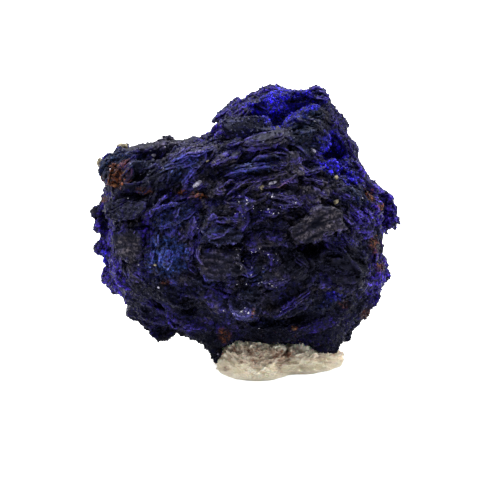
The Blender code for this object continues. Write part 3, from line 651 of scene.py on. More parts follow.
def stamp_along_grain(skin, places, outward, half_length, width, proud, gap, seed):
    """Stamps leaves at those places along the grain, with sizes drawn from the ranges."""
    chance = np.random.default_rng(seed)
    along, over = grain_axes(places, outward)
    for place, out, run, rise in zip(places, outward, along, over):
        turn = math.radians(chance.normal(0, LEAF_SWING))
        run, rise = run * math.cos(turn) + rise * math.sin(turn), rise * math.cos(turn) - run * math.sin(turn)
        if rise @ EYE_UP < 0:
            run, rise = -run, -rise
        size = chance.uniform(0.6, 1.0)
        skin.stamp(place, out, run, rise, size * chance.uniform(*half_length), size * chance.uniform(*width),
                   size * chance.uniform(*proud), gap * size)


skin = Skin(body_points, body_normals)
smooth_tree = skin_tree()
for seed, count, half_length, width, proud, gap in LEAF_KINDS:
    places, outward, _ = smooth_ground.draw(count, seed, 0.04 + leafy)
    stamp_along_grain(skin, places, outward, half_length, width, proud, gap, seed + 5)
for across, height, half_length, width, slope, proud in RIDGES + SWELLS:
    place, out = seen_place(smooth_tree, across, height)
    run = level_run(out, slope)
    skin.stamp(place, out, run, np.cross(out, run), half_length, width, proud, RIDGE_GAP)
leaf_heights = skin.heights()
print("leaves in relief:", sum(kind[1] for kind in LEAF_KINDS) + len(RIDGES) + len(SWELLS))

# %% [markdown]
# The frosted rims rise as thin lines, broken up by noise. The head is a half ball that comes out of the skin,
# and the swellings and dents have soft edges, since they only correct the form underneath.

# %% Draw the rims, the head and the swellings
RIM_LINE_WIDTH = 0.34


def closeness(points, tree, across, height, radius):
    """1 at the skin's point that is seen there, falling with the square of the distance to 0 at the radius."""
    gap = np.linalg.norm(points - seen_place(tree, across, height)[0], axis=1) / radius
    return np.clip(1 - gap ** 2, 0, 1)


across, height = as_seen(body_points)
rim_lines = np.zeros(len(body_points))
for line in RIM_LINES:
    for start, end in zip(line, line[1:]):
        gap = gap_to_line(across, height, start, end)
        rim_lines = np.maximum(rim_lines, 1 - ramp(gap, 0.05, RIM_LINE_WIDTH))
rim_lines *= ramp(-(body_normals @ EYE), -0.1, 0.2) * (0.55 + 0.45 * noise_at(body_points, 0.7, 32, 2))
leaf_heights += HEAD[-1] * np.sqrt(closeness(body_points, smooth_tree, *HEAD[:-1]))
bulges = np.zeros(len(body_points))
for *place, rise in BULGES:
    bulges += rise * closeness(body_points, smooth_tree, *place) ** 2
print("swellings and dents:", round(float(bulges.min()), 2), "to", round(float(bulges.max()), 2), "mm")

# %% [markdown]
# ## Lumps and grain in the skin
#
# Under the leaves goes a slow lumpiness, so that no form stays regular, and over them go *cobbles*, the
# rounded heads of crystals that have grown side by side. Blocky skin gets two larger sizes of them as well,
# and the plates get their fine lines instead. The skin could be pushed along its own normals, but on a bumpy
# skin these fan out and turn bumps into mushrooms, so it is pushed along evened ones. Tips that still stand
# out too far are worn off afterwards.

# %% Push the skin in and out
LUMP_DEPTH = 0.35
GRAIN_DEPTH = 0.09
RIM_LINE_RISE = 0.22
COBBLE_SIZE, COBBLE_DEPTH = 0.8, 0.16
BLOCK_SIZES, BLOCK_DEPTH = (2.3, 1.1), 0.6
TALLEST_TIPS = ((40, 0.5), (8, 0.26), (8, 0.26), (8, 0.26))  # rounds of averaging, and what a tip keeps
INSET = 0.2  # the crust and leaves fill this again, so that the outline stays


def cobbles(points, size):
    """Rounded heads: near 1 in the middle of a cell and 0 at its edge."""
    heads = np.empty(len(points))
    for at, point in enumerate(points):
        distances = noise.voronoi(Vector(point) / size)[0]
        heads[at] = min(1.0, distances[1] - distances[0])
    return heads


rough = 1 - 0.8 * body_plates
blocky = (1 - leafy) * rough * (1 - 0.6 * body_masks["ultramarine"]) * (1 - 0.7 * blades)
blocky *= 0.35 + 0.65 * facing
bent = body_points + 0.35 * wobble(body_points, 0.8, 54)
lumps = noise_at(body_points, 3.0, 6, 3) * LUMP_DEPTH * (1 - 0.7 * body_plates)
grain = noise_at(body_points, 0.5, 7, 2) * GRAIN_DEPTH
heads = (cobbles(body_points, COBBLE_SIZE) - 0.3) * COBBLE_DEPTH
blocks = (cobbles(bent, BLOCK_SIZES[0]) - 0.45) * BLOCK_DEPTH
blocks += (cobbles(bent, BLOCK_SIZES[1]) - 0.4) * BLOCK_DEPTH * 0.5
push = lumps + (leaf_heights + grain + heads + rim_lines * RIM_LINE_RISE) * rough + blocks * blocky
push += bulges + plate_lines * LINE_DEPTH + body_plates * PLATE_RISE - plate_grooves * GROOVE_DEPTH - INSET
smooth_points = body_points
body_points = smooth_points + push_ways(body.data) * push[:, None]
set_points(body.data, body_points)
for rounds, tallest in TALLEST_TIPS:
    body_points -= normals_of(body.data) * np.maximum(relief_of(body.data, rounds) - tallest, 0)[:, None]
    set_points(body.data, body_points)
moves = body_points - smooth_points
body_normals = normals_of(body.data)
print("body:", np.round(np.ptp(body_points, axis=0), 1), "mm")

# %% [markdown]
# ## Rims and clefts
#
# On the real mineral the outer rims of the leaves are frosted by the finest crystals. So each point keeps how
# far it stands out of the skin around it, which the finish turns into light rims, partly frost and partly a
# painted highlight, and dark clefts, which are painted shade.

# %% Store the relief and the zones


def store_relief(mesh, lines=0.0):
    relief = relief_of(mesh)
    # The rim mask lightens the colour as frost and painted highlight, and the cleft mask darkens it as painted
    # shade.
    rims = np.maximum(ramp(relief, 0.06, 0.26), lines)
    store_masks(mesh, {"rim": rims, "cleft": ramp(-relief, -0.05, 0.09)})
    print("relief of a tenth, half and nine tenths:", np.round(np.percentile(relief, (10, 50, 90)), 3), "mm")


store_masks(body.data, {**body_masks, "plate": body_plates, "line": plate_lines})
# The rim lines join the rim mask, so they too are lightened as frost and painted highlight.
store_relief(body.data, np.clip(rim_lines * 1.2, 0, 1))

# %% [markdown]
# ## Front and back
#
# The skin is cut in two by a plane that runs from side to side, and the cut is filled, inside the body. It is
# made through the smooth skin, where it's cleaner. Where the plane only grazes the skin, a few narrow strips
# of the filling stay open or double, which can't be seen, because the other half lies against them. Each
# point carries its push with it, so the two halves still meet exactly when they are pushed afterwards. The
# back, which is seldom seen, is then thinned by *decimate*, which merges points away from the seam.

# %% Cut the skin in two
SEAM = 1.0
BACK_SHARE = 0.5


def half_of_body(name, drop_back):
    """A copy of the body on one side of the seam, filled along the cut and pushed in and out."""
    half = bpy.data.objects.new(name, body.data.copy())
    bpy.context.scene.collection.objects.link(half)
    set_points(half.data, smooth_points)
    carried = half.data.attributes.new("push", "FLOAT_VECTOR", "POINT")
    carried.data.foreach_set("vector", moves.astype(np.float32).ravel())
    select_only(half)
    bpy.ops.object.mode_set(mode="EDIT")
    bpy.ops.mesh.select_all(action="SELECT")
    bpy.ops.mesh.bisect(plane_co=(0, SEAM * MM, 0), plane_no=(0, 1, 0), use_fill=True,
                        clear_outer=drop_back, clear_inner=not drop_back)
    bpy.ops.mesh.select_all(action="SELECT")
    bpy.ops.mesh.normals_make_consistent(inside=False)
    bpy.ops.object.mode_set(mode="OBJECT")
    push_back = np.empty(len(half.data.vertices) * 3, np.float32)
    half.data.attributes["push"].data.foreach_get("vector", push_back)
    half.data.attributes.remove(half.data.attributes["push"])
    set_points(half.data, points_of(half.data) + push_back.reshape(-1, 3))
    print(name + ":", len(half.data.polygons), "faces")
    return half


front = half_of_body("azurite_front", True)
back = half_of_body("azurite_back", False)
away = back.vertex_groups.new(name="away_from_the_seam")
levels = np.round(ramp(points_of(back.data)[:, 1], SEAM + 0.5, SEAM + 3), 1)
for level in np.unique(levels[levels > 0]):
    away.add(np.flatnonzero(levels == level).tolist(), float(level), "REPLACE")
apply_modifier(back, "thin", "DECIMATE", ratio=BACK_SHARE, vertex_group=away.name)
back.vertex_groups.clear()
print("thinned back:", len(back.data.polygons), "faces")

# %% [markdown]
# ## Free sheets
#
# Some leaves stand free of the skin at their outer edge, like slates, and throw a real shadow. Two sheets, a
# long and a short one, are modelled as by hand: a slab, divided along its length and depth so that it can
# bend, thinned towards its outer edge and drawn in at both ends. Copies of the long one lie in stacks of two
# or three on every ridge, and those of the short one in between at random. A mesh's faces can come out in
# another order from run to run, so they are sorted, which keeps the random draws the same.

# %% Model the two sheets


def from_smallest(corners):
    """The same corners in the same turn, from the smallest number on."""
    first = corners.index(min(corners))
    return corners[first:] + corners[:first]


def modelled(name):
    """Takes the active object's points and faces, the faces in a fixed order, and removes the object."""
    thing = bpy.context.active_object
    points = points_of(thing.data) * MM
    faces = sorted(from_smallest(tuple(polygon.vertices)) for polygon in thing.data.polygons)
    bpy.data.objects.remove(thing)
    print(name + ":", len(points), "points,", len(faces), "faces")
    return points, faces


def modelled_sheet(name, cuts_along, cuts_deep):
    """A slab one unit long, one deep from its outer edge at -Y, and one thick."""
    bpy.ops.object.select_all(action="DESELECT")
    bpy.ops.mesh.primitive_grid_add(x_subdivisions=cuts_along, y_subdivisions=cuts_deep, size=1,
                                    location=(0, 0, -0.5))
    bpy.ops.object.mode_set(mode="EDIT")
    bpy.ops.mesh.select_all(action="SELECT")
    bpy.ops.mesh.extrude_region_move(TRANSFORM_OT_translate={"value": (0, 0, 1)})
    bpy.ops.mesh.select_all(action="SELECT")
    bpy.ops.mesh.normals_make_consistent(inside=False)
    bpy.ops.object.mode_set(mode="OBJECT")
    points, faces = modelled(name)
    ends = np.clip(1 - (2 * np.abs(points[:, 0])) ** 3.5, 0.12, 1)
    points[:, 1] = 0.5 - (0.5 - points[:, 1]) * (0.35 + 0.65 * ends)
    points[:, 2] *= (0.45 + 0.55 * ramp(points[:, 1], -0.5, -0.2)) * (0.3 + 0.7 * ends)
    return points, faces


SHEET = modelled_sheet("long sheet", 13, 4)
CHIP = modelled_sheet("short sheet", 6, 3)

# %% [markdown]
# Thousands of objects would be slow, so copies of one small shape are joined straight into one mesh. Each
# copy gets its own axes, whose lengths are its size, and its points are jogged a little so that no two copies
# are the same.

# %% Join many copies


def join_copies(name, shape, places, axes, jog, seed):
    """One object of copies of the shape. Axes is a 3 by 3 array for each copy, with an axis in each row."""
    points, faces = shape
    chance = np.random.default_rng(seed)
    copies = points[None] + chance.uniform(-jog, jog, (len(places), *points.shape))
    joined = (copies @ axes + places[:, None]).reshape(-1, 3)
    starts = np.arange(len(places)) * len(points)
    sizes = np.tile([len(face) for face in faces], len(places))
    flat = np.concatenate([np.array(face) for face in faces])
    return thing_from(name, joined, (starts[:, None] + flat[None]).ravel(), sizes)


def finish_copies(made, shape, places, tone_seed, relief=0.0):
    """Gives the copies the zones of the places they grow on, and each a random brightness of its own, with
    painted shade in clefts and a painted highlight on rims.
    """
    count = len(shape[0])
    masks = zone_masks(places)
    store_masks(made.data, {zone: np.repeat(values, count) for zone, values in masks.items()})
    tone_and_painted_light = np.random.default_rng(tone_seed).uniform(0, 1, len(places)) ** 1.6
    # Painted shade: copies in clefts are darkened; painted highlight: copies on rims are lightened.
    tone_and_painted_light = tone_and_painted_light * (0.1 + 0.9 * ramp(relief, -0.12, 0.08)) + 0.3 * ramp(relief, 0.06, 0.26)
    store_masks(made.data, {"tone_and_painted_light": np.repeat(tone_and_painted_light, count)})
    print(made.name + ":", len(places), "copies,", len(made.data.polygons), "faces")


# %% [markdown]
# The sheets of a stack lie one above the other with their tops turned outwards, and the lowest stands
# furthest out. Long ones go on the ridges, and short ones lie wherever the skin is leafy. Noise at three
# sizes then tears them.

# %% Lay the sheets
SHEET_RAG = 0.16  # how far noise pushes a sheet's points, in mm
SHEET_DEEP, CHIP_DEEP = 2.4, 1.6  # mm, most of it inside the body
SHEET_TILT = 38
CHIP_STACKS = 480


class Pile:
    """Middles and axes of sheets, gathered stack by stack."""

    def __init__(self, seed):
        self.chance = np.random.default_rng(seed)
        self.middles, self.axes = [], []

    def add_stack(self, place, out, run, sheets, length, depth, thickness, tilt, proud):
        """Sheets on the skin, with their tops turned outwards by that many degrees."""
        rise = np.cross(out, run)
        turn = math.radians(tilt)
        top = rise * math.cos(turn) + out * math.sin(turn)
        deep = np.cross(top, run)
        for sheet in range(sheets):
            swing = math.radians(self.chance.normal(0, 4))
            along = run * math.cos(swing) + deep * math.sin(swing)
            inward = deep * math.cos(swing) - run * math.sin(swing)
            level = (sheet - (sheets - 1) / 2) * thickness * 1.5
            edge = proud * self.chance.uniform(0.75, 1.1)
            middle = place + rise * level + out * (edge - depth * 0.5 * math.cos(turn))
            middle = middle + run * self.chance.normal(0, 0.08) * length
            self.middles.append(middle)
            size = self.chance.uniform(0.75, 1.0)
            self.axes.append((along * length * size, inward * depth, top * thickness))

    def joined(self, name, shape, seed):
        middles = np.array(self.middles)
        made = join_copies(name, shape, middles, np.array(self.axes), 0.0, seed)
        points = points_of(made.data)
        bend = wobble(points, 2.6, 57) * SHEET_RAG * 1.4 + wobble(points, 0.7, 60) * SHEET_RAG
        set_points(made.data, points + bend + wobble(points, 0.3, 63) * 0.1)
        finish_copies(made, shape, middles, seed + 1)
        store_relief(made.data)
        return made


rough_tree = skin_tree()
long_sheets = Pile(61)
for across, height, half_length, width, slope, proud in RIDGES:
    place, out = seen_place(rough_tree, across, height)
    long_sheets.add_stack(place, out, level_run(out, slope), 2 if width < 0.9 else 3, half_length * 1.9,
                          SHEET_DEEP, width * 0.3, SHEET_TILT, proud * 0.75)
sheets = long_sheets.joined("ridge_sheets", SHEET, 62)

short_sheets = Pile(63)
places, outward, _ = Ground(body).draw(CHIP_STACKS, 64, leafy ** 2 * (1 - body_plates))
along, over = grain_axes(places, outward)
for place, out, run in zip(places, outward, along):
    if np.cross(out, run) @ EYE_UP < 0:
        run = -run
    chance = short_sheets.chance
    short_sheets.add_stack(place, out, run, chance.integers(1, 4), chance.uniform(1.6, 3.6), CHIP_DEEP,
                           chance.uniform(0.16, 0.34), chance.uniform(25, 60), chance.uniform(0.1, 0.4))
chips = short_sheets.joined("leaf_chips", CHIP, 65)

# %% [markdown]
# ## Druse
#
# The crust is thousands of crystals, 0.2 to 0.5 mm long. Each is a wedge: a block whose top has been drawn in
# to a short ridge, as azurite's slanting faces do. With only a few faces a wedge still glints, because the
# faces are flat.

# %% Model one crystal
bpy.ops.object.select_all(action="DESELECT")
bpy.ops.mesh.primitive_cube_add(size=1, location=(0, 0, 0.1))
bpy.ops.object.mode_set(mode="EDIT")
bpy.ops.mesh.select_all(action="DESELECT")
crystal_edit = bmesh.from_edit_mesh(bpy.context.active_object.data)
for face in crystal_edit.faces:
    face.select_set(face.normal.z > 0.9)
bmesh.update_edit_mesh(bpy.context.active_object.data)
bpy.ops.transform.resize(value=(0.7, 0.0, 1.0))
bpy.ops.transform.translate(value=(0.1, 0.1, 0))
bpy.ops.mesh.select_all(action="SELECT")
bpy.ops.mesh.remove_doubles(threshold=1e-4)
bpy.ops.mesh.normals_make_consistent(inside=False)
bpy.ops.object.mode_set(mode="OBJECT")
CRYSTAL = modelled("crystal")

# %% [markdown]
# Crystals grow on the skin and on the sheets alike: thickly on rims, and thinly in clefts and on the smooth
# plates. They stand on the surface and lean at random. The bright hollow gets a finer and denser crust, like
# sugar.

# %% Scatter the crystals
DRUSE_COUNT, DRUSE_SIZES = 22000, (0.22, 0.42)  # for each of two pieces, and mm
SUGAR_COUNT, SUGAR_SIZES = 6000, (0.16, 0.3)


def grow_crystals(name, count, seed, size_range, wanted):
    """Crystals all over the places that are wanted, standing on the skin and leaning at random."""
    places, outward, relief = crust_ground.draw(count, seed, wanted)
    chance = np.random.default_rng(seed + 1)
    up = outward + chance.normal(0, 0.45, outward.shape)
    up /= np.linalg.norm(up, axis=1, keepdims=True)
    side = np.cross(up, chance.normal(0, 1, up.shape))
    side /= np.linalg.norm(side, axis=1, keepdims=True)
    size = chance.uniform(*size_range, count) * chance.uniform(0.75, 1.35, count)
    axes = np.stack([
        side * (size * chance.uniform(0.7, 1.5, count))[:, None],
        np.cross(up, side) * (size * chance.uniform(0.5, 1.0, count))[:, None],
        up * size[:, None],
    ], axis=1)
    made = join_copies(name, CRYSTAL, places, axes, 0.08, seed + 2)
    finish_copies(made, CRYSTAL, places, seed + 3, relief)
    return made


crust_ground = Ground(body, sheets, chips)
crust_masks = zone_masks(crust_ground.points)
crust_plates = plates_at(crust_ground.points, crust_ground.normals)[0]
bare = np.clip(1 - 0.85 * crust_plates - 0.2 * crust_masks["painted_sheen"], 0.03, 1)
bare *= 1 - 0.6 * ramp(-crust_ground.relief, 0.03, 0.2)
bare *= 1 - 0.4 * ramp(as_seen(crust_ground.points)[1], 18.0, 24.0) * (1 - crust_masks["violet"])
druse = [
    grow_crystals("azurite_druse_" + letter, DRUSE_COUNT, 50 + 10 * number, DRUSE_SIZES, bare)
    for number, letter in enumerate("ab")
]
sugar = grow_crystals("hollow_druse", SUGAR_COUNT, 90, SUGAR_SIZES, crust_masks["ultramarine"] ** 2)

# %% [markdown]
# ## Grains of other minerals
#
# Here and there the crust holds grains of the rock it grew on: pale ones of calcite, tan knobs of clay, and
# rusty ones of limonite. The ones that catch the eye are placed one by one. The rest are painted glints, nearly
# white grains on the rims that stand in for the glints of crystal faces, mostly in three patches near the
# middle, and limonite wherever the rust zones lie.

# %% Model a pebble
bpy.ops.object.select_all(action="DESELECT")
bpy.ops.mesh.primitive_ico_sphere_add(subdivisions=2, radius=0.5)
PEBBLE = modelled("pebble")

# %% Set the grains
CALCITE_GRAINS = (  # across, height, length, width and slope
    (-6.9, 27.1, 1.7, 0.8, 32), (3.9, 27.2, 1.7, 0.5, 14), (11.2, 25.4, 0.9, 0.45, 16),
    (-13.3, 31.4, 0.7, 0.5, 0), (-12.5, 12.1, 0.4, 0.3, 0), (-4.0, 2.2, 0.35, 0.3, 0),
    (5.0, 35.0, 1.0, 0.3, 8), (7.2, 32.0, 0.4, 0.4, 0), (10.0, 32.0, 0.9, 0.4, -36), (6.4, 24.9, 0.5, 0.4, 0),
    (7.3, 24.6, 0.4, 0.35, 0), (2.8, 30.1, 0.35, 0.3, 0), (4.6, 31.6, 0.4, 0.3, 0), (3.4, 33.3, 0.4, 0.3, 0),
)
CLAY_KNOBS = (
    (-18.2, 33.2, 1.7, 1.2, 10), (-21.6, 30.6, 1.0, 1.3, 0), (-5.5, 30.5, 0.7, 0.5, 20),
    (2.4, 26.6, 0.8, 0.7, 0), (13.3, 28.0, 0.7, 0.7, 0), (13.2, 24.5, 0.9, 0.6, 40),
    (4.8, 35.3, 0.7, 0.4, 20), (8.9, 36.2, 0.5, 0.4, 0), (-13.0, 15.4, 0.5, 0.4, 0),
)
LIMONITE_GRAINS = (
    (7.2, 6.0, 0.8, 0.6, 20), (1.2, 8.7, 0.7, 0.4, 0), (-8.6, 25.8, 0.8, 0.5, 0), (-6.6, 25.5, 0.9, 0.4, -20),
    (-17.4, 29.6, 0.9, 0.8, 0), (-19.0, 27.0, 0.8, 0.7, 0), (19.4, 15.4, 0.6, 0.8, 60),
    (18.9, 18.6, 0.5, 0.9, 20),
)
GLINTS = (  # across, height, half width, half height and strength of the patches that sparkle
    (2.0, 15.0, 5.0, 4.0, 1.5), (2.5, 24.0, 4.5, 3.0, 1.0), (4.0, 8.0, 9.0, 2.2, 0.7),
)
# Painted glints: nearly white grains that stand in for the glints of crystal faces.
PAINTED_GLINT_COUNT, PAINTED_GLINT_SIZES = 760, (0.13, 0.24)
RUST_COUNT, RUST_SIZES = 1000, (0.14, 0.3)


def set_grains(name, grains, seed):
    """Pebbles on the skin at those places, as long, wide and sloping as they say."""
    places, axes = [], []
    for across, height, length, width, slope in grains:
        place, out = seen_place(rough_tree, across, height)
        run = level_run(out, slope)
        places.append(place + out * width * 0.1)
        axes.append((run * length, np.cross(out, run) * width, out * min(length, width) * 0.9))
    made = join_copies(name, PEBBLE, np.array(places), np.array(axes), 0.09, seed)
    finish_copies(made, PEBBLE, np.array(places), seed + 1)
    return made


calcite = set_grains("calcite_grains", CALCITE_GRAINS, 101)
knobs = set_grains("clay_knobs", CLAY_KNOBS, 103)
limonite = set_grains("limonite_grains", LIMONITE_GRAINS, 105)
across, height = as_seen(crust_ground.points)
glinting = np.full(len(across), 0.04)
for middle, level, half_width, half_height, strength in GLINTS:
    reach = np.hypot((across - middle) / half_width, (height - level) / half_height)
    glinting += strength * ramp(-reach, -1.1, -0.5)
on_rims = ramp(crust_ground.relief, 0.0, 0.2) * (1 - crust_masks["ultramarine"]) * (1 - crust_masks["violet"])
# Painted glints: nearly white grains on the rims, mostly in the glinting patches.
painted_glints = grow_crystals("painted_glint_grains", PAINTED_GLINT_COUNT, 110, PAINTED_GLINT_SIZES, on_rims * glinting)
rust = grow_crystals("limonite_crust", RUST_COUNT, 120, RUST_SIZES, crust_masks["rust"] ** 2)

# %% [markdown]
# ## Finishes
#
# Colours are written as the hex values a painter would pick on a screen, and one function turns them to the
# linear values that the renderer needs. One more function adds a node with its settings and links.

# %% Colour and node helpers


def linear(hex_colour):
    """An sRGB hex colour as linear red, green, blue and alpha."""
    parts = [int(hex_colour[at:at + 2], 16) / 255 for at in (1, 3, 5)]
    return [part / 12.92 if part <= 0.04045 else ((part + 0.055) / 1.055) ** 2.4 for part in parts] + [1.0]


def add_node(tree, kind, settings=None, **links):
    """A node of that kind, with its settings and with values or sockets on its named inputs."""
    node = tree.nodes.new(kind)
    for key, value in (settings or {}).items():
        setattr(node, key, value)
    for name, value in links.items():
        socket = node.inputs[int(name[1:])] if name[0] == "i" and name[1:].isdigit() else node.inputs[
            name.replace("_", " ")]
        if isinstance(value, bpy.types.NodeSocket):
            tree.links.new(value, socket)
        else:
            socket.default_value = value
    return node


def scale_for(size):
    """The scale of a texture whose cells or lumps are that many mm wide."""
    return 1 / (size * MM)


def new_finish(name):
    """An empty material with its Principled surface."""
    finish = bpy.data.materials.new(name)
    finish.use_nodes = True
    return finish, finish.node_tree, finish.node_tree.nodes["Principled BSDF"]


# %% [markdown]
# ### Azurite
#
# Azurite is a hard, glassy mineral with an index near 1.75, but a druse of it looks nearly black: light goes in
# between the crystals and doesn't come back. So the base is a very dark navy, and the zones lay their colours
# over it, each in darker and lighter flecks; among them are a painted sheen and painted shade. Rims get a pale
# frost and are lightened, partly frost and partly a painted highlight, and clefts are darkened nearly to black
# as painted shade. A speckle stands for the crystals that are too small to model. They are about a tenth of a
# millimetre wide, and the speckle is drawn twice as coarse so that it shows. A bump breaks up the shine at the
# same size. The skin is dull, the leaves are a little brighter, and single crystals glint; each crystal's
# brightness is random, with painted shade in clefts and a painted highlight on rims.

# %% The azurite's finish
# The colours of the sheen zone are a grey that stands in for a reflection, painted sheen, and those of the
# shade zone are near black, painted shade.
ZONE_COLOURS = {  # the darker and the lighter flecks of each
    "navy": ("#020206", "#141148"), "violet": ("#060412", "#3e26b2"), "steel": ("#080c20", "#2e458c"),
    "teal": ("#03070b", "#0e2648"), "painted_sheen": ("#161318", "#454044"), "ultramarine": ("#07035a", "#2c1aff"),
    "painted_shade": ("#010102", "#08070a"), "rust": ("#0e0703", "#643410"),
}
UMBER = ("#030203", "#282427")
# The pale frost on the rims is partly the finest crystals and partly a painted highlight on edges that catch
# the light.
FROST_AND_HIGHLIGHT, DULL_FROST_AND_HIGHLIGHT, FROST_AND_HIGHLIGHT_SHARE = "#5546ae", "#4c4858", 0.22
GLINT_TINT = "#a8aef0"
# Cleft darkens as painted shade in the clefts, rim lightens as a painted highlight on the rims, and the shade
# zone darkens its painted shade further.
STRENGTHS = (  # what each attribute multiplies the colour by, where it is 0 and where it is 1
    ("cleft", 1.0, 0.06), ("rim", 1.0, 3.0), ("line", 1.0, 2.7), ("painted_shade", 1.0, 0.5),
)
AZURITE_INDEX = 1.75
SPECKLE_MM, FLECK_MM, MOTTLE_MM, PATCH_MM, BUMP_MM = 0.24, 0.45, 1.1, 2.2, 0.08


def azurite_finish(name, grainy, darkest, lightest, shine, roughness):
    """The mineral's zones over navy, with speckle, bump, and for each crystal a random brightness that also
    holds painted shade and highlight from the relief.
    """
    finish, tree, surface = new_finish(name)
    place = add_node(tree, "ShaderNodeTexCoord").outputs["Object"]
    mottle = add_node(tree, "ShaderNodeTexNoise", Vector=place, Scale=scale_for(MOTTLE_MM), Detail=3.0,
                      Roughness=0.6)
    fleck = add_node(tree, "ShaderNodeTexNoise", Vector=place, Scale=scale_for(FLECK_MM), Detail=2.0,
                     Roughness=0.6)
    flecked = add_node(tree, "ShaderNodeMapRange", Value=fleck.outputs["Fac"], From_Min=0.42, From_Max=0.6)
    frayed = add_node(tree, "ShaderNodeMapRange", Value=mottle.outputs["Fac"], From_Min=0.3, From_Max=0.6,
                      To_Min=0.55, To_Max=1.0)
    speckle = add_node(tree, "ShaderNodeTexVoronoi", Vector=place, Scale=scale_for(SPECKLE_MM))
    # The rim mask mixes in the frost colour: partly frost, partly a painted highlight.
    rim = add_node(tree, "ShaderNodeAttribute", {"attribute_name": "rim"}).outputs["Fac"]
    frost_and_highlight_amount = add_node(tree, "ShaderNodeMath", {"operation": "MULTIPLY"}, i0=rim, i1=FROST_AND_HIGHLIGHT_SHARE)
    patches = add_node(tree, "ShaderNodeTexNoise", Vector=place, Scale=scale_for(PATCH_MM), Detail=4.0,
                       Roughness=0.65)
    patched = add_node(tree, "ShaderNodeMapRange", Value=patches.outputs["Fac"], From_Min=0.46, From_Max=0.58)
    frost_and_highlight = add_node(tree, "ShaderNodeMix", {"data_type": "RGBA"}, i0=patched.outputs[0], i6=linear(FROST_AND_HIGHLIGHT),
                     i7=linear(DULL_FROST_AND_HIGHLIGHT))

    def flecks(dark, light):
        return add_node(tree, "ShaderNodeMix", {"data_type": "RGBA"}, i0=flecked.outputs[0], i6=linear(dark),
                        i7=linear(light)).outputs[2]

    colour = add_node(tree, "ShaderNodeMix", {"data_type": "RGBA"}, i0=patched.outputs[0],
                      i6=flecks(*ZONE_COLOURS["navy"]), i7=flecks(*UMBER)).outputs[2]
    for zone, pair in ZONE_COLOURS.items():
        if zone == "navy":
            continue
        if zone == "ultramarine":
            colour = add_node(tree, "ShaderNodeMix", {"data_type": "RGBA"}, i0=frost_and_highlight_amount.outputs[0], i6=colour,
                              i7=frost_and_highlight.outputs[2]).outputs[2]
        own = flecks(*pair)
        mask = add_node(tree, "ShaderNodeAttribute", {"attribute_name": zone}).outputs["Fac"]
        broken = add_node(tree, "ShaderNodeMath", {"operation": "MULTIPLY_ADD", "use_clamp": True},
                          i0=mask, i1=1.35, i2=-0.22)
        amount = add_node(tree, "ShaderNodeMath", {"operation": "MULTIPLY"}, i0=broken.outputs[0],
                          i1=1.0 if zone == "rust" else frayed.outputs[0])
        colour = add_node(tree, "ShaderNodeMix", {"data_type": "RGBA"}, i0=amount.outputs[0], i6=colour,
                          i7=own).outputs[2]
    cell = add_node(tree, "ShaderNodeSeparateColor", Color=speckle.outputs["Color"]).outputs[0]
    strength = add_node(tree, "ShaderNodeMapRange", Value=cell, To_Min=0.3, To_Max=1.7)
    for attribute, low, high in (("tone_and_painted_light", darkest, lightest), *STRENGTHS):
        value = add_node(tree, "ShaderNodeAttribute", {"attribute_name": attribute}).outputs["Fac"]
        scaled = add_node(tree, "ShaderNodeMapRange", {"clamp": attribute != "line"}, Value=value, To_Min=low,
                          To_Max=high)
        strength = add_node(tree, "ShaderNodeMath", {"operation": "MULTIPLY"}, i0=strength.outputs[0],
                            i1=scaled.outputs[0])
    lit = add_node(tree, "ShaderNodeVectorMath", {"operation": "SCALE"}, i0=colour, Scale=strength.outputs[0])
    tree.links.new(lit.outputs[0], surface.inputs["Base Color"])
    rough = add_node(tree, "ShaderNodeMapRange", Value=mottle.outputs["Fac"], From_Min=0.3, From_Max=0.7,
                     To_Min=roughness, To_Max=roughness + 0.3)
    tree.links.new(rough.outputs[0], surface.inputs["Roughness"])
    surface.inputs["IOR"].default_value = AZURITE_INDEX
    surface.inputs["Specular IOR Level"].default_value = shine
    surface.inputs["Specular Tint"].default_value = linear(GLINT_TINT)
    bump = add_node(tree, "ShaderNodeBump", Strength=grainy, Distance=BUMP_MM * MM,
                    Height=speckle.outputs["Distance"])
    tree.links.new(bump.outputs[0], surface.inputs["Normal"])
    return finish


crust_finish = azurite_finish("azurite_crust", grainy=0.6, darkest=0.67, lightest=0.67, shine=0.09,
                              roughness=0.35)
crystal_finish = azurite_finish("azurite_crystals", grainy=0.25, darkest=0.05, lightest=2.1, shine=0.22,
                                roughness=0.18)
leaf_finish = azurite_finish("azurite_leaf", grainy=0.4, darkest=0.35, lightest=1.0, shine=0.1, roughness=0.35)
print("finishes of azurite:", crust_finish.name, crystal_finish.name, leaf_finish.name)

# %% [markdown]
# ### The other minerals
#
# Calcite is a pale, glassy mineral, milky in grains. The small painted glints are nearly white grains that
# stand in for glints. Clay is dull and tan, and limonite is an earthy rust. They have plain finishes, in which
# a fine noise mixes two colours.

# %% Finishes of the grains
STAIN_MM = 0.4


def grain_finish(name, dark, light, roughness):
    """Two colours of one mineral, mixed by a fine noise."""
    finish, tree, surface = new_finish(name)
    place = add_node(tree, "ShaderNodeTexCoord").outputs["Object"]
    mix = add_node(tree, "ShaderNodeTexNoise", Vector=place, Scale=scale_for(STAIN_MM), Detail=3.0)
    part = add_node(tree, "ShaderNodeMapRange", Value=mix.outputs["Fac"], From_Min=0.4, From_Max=0.6)
    colour = add_node(tree, "ShaderNodeMix", {"data_type": "RGBA"}, i0=part.outputs[0], i6=linear(dark),
                      i7=linear(light))
    tree.links.new(colour.outputs[2], surface.inputs["Base Color"])
    surface.inputs["Roughness"].default_value = roughness
    return finish


calcite_finish = grain_finish("calcite", "#5e5b74", "#b4b1c8", 0.4)
# The painted glints get a nearly white finish.
painted_glint_finish = grain_finish("painted_glint_white", "#8a88a0", "#f0eefa", 0.25)
clay_finish = grain_finish("clay", "#4a4436", "#9a8f74", 0.8)
limonite_finish = grain_finish("limonite", "#160b05", "#6e3c12", 0.7)

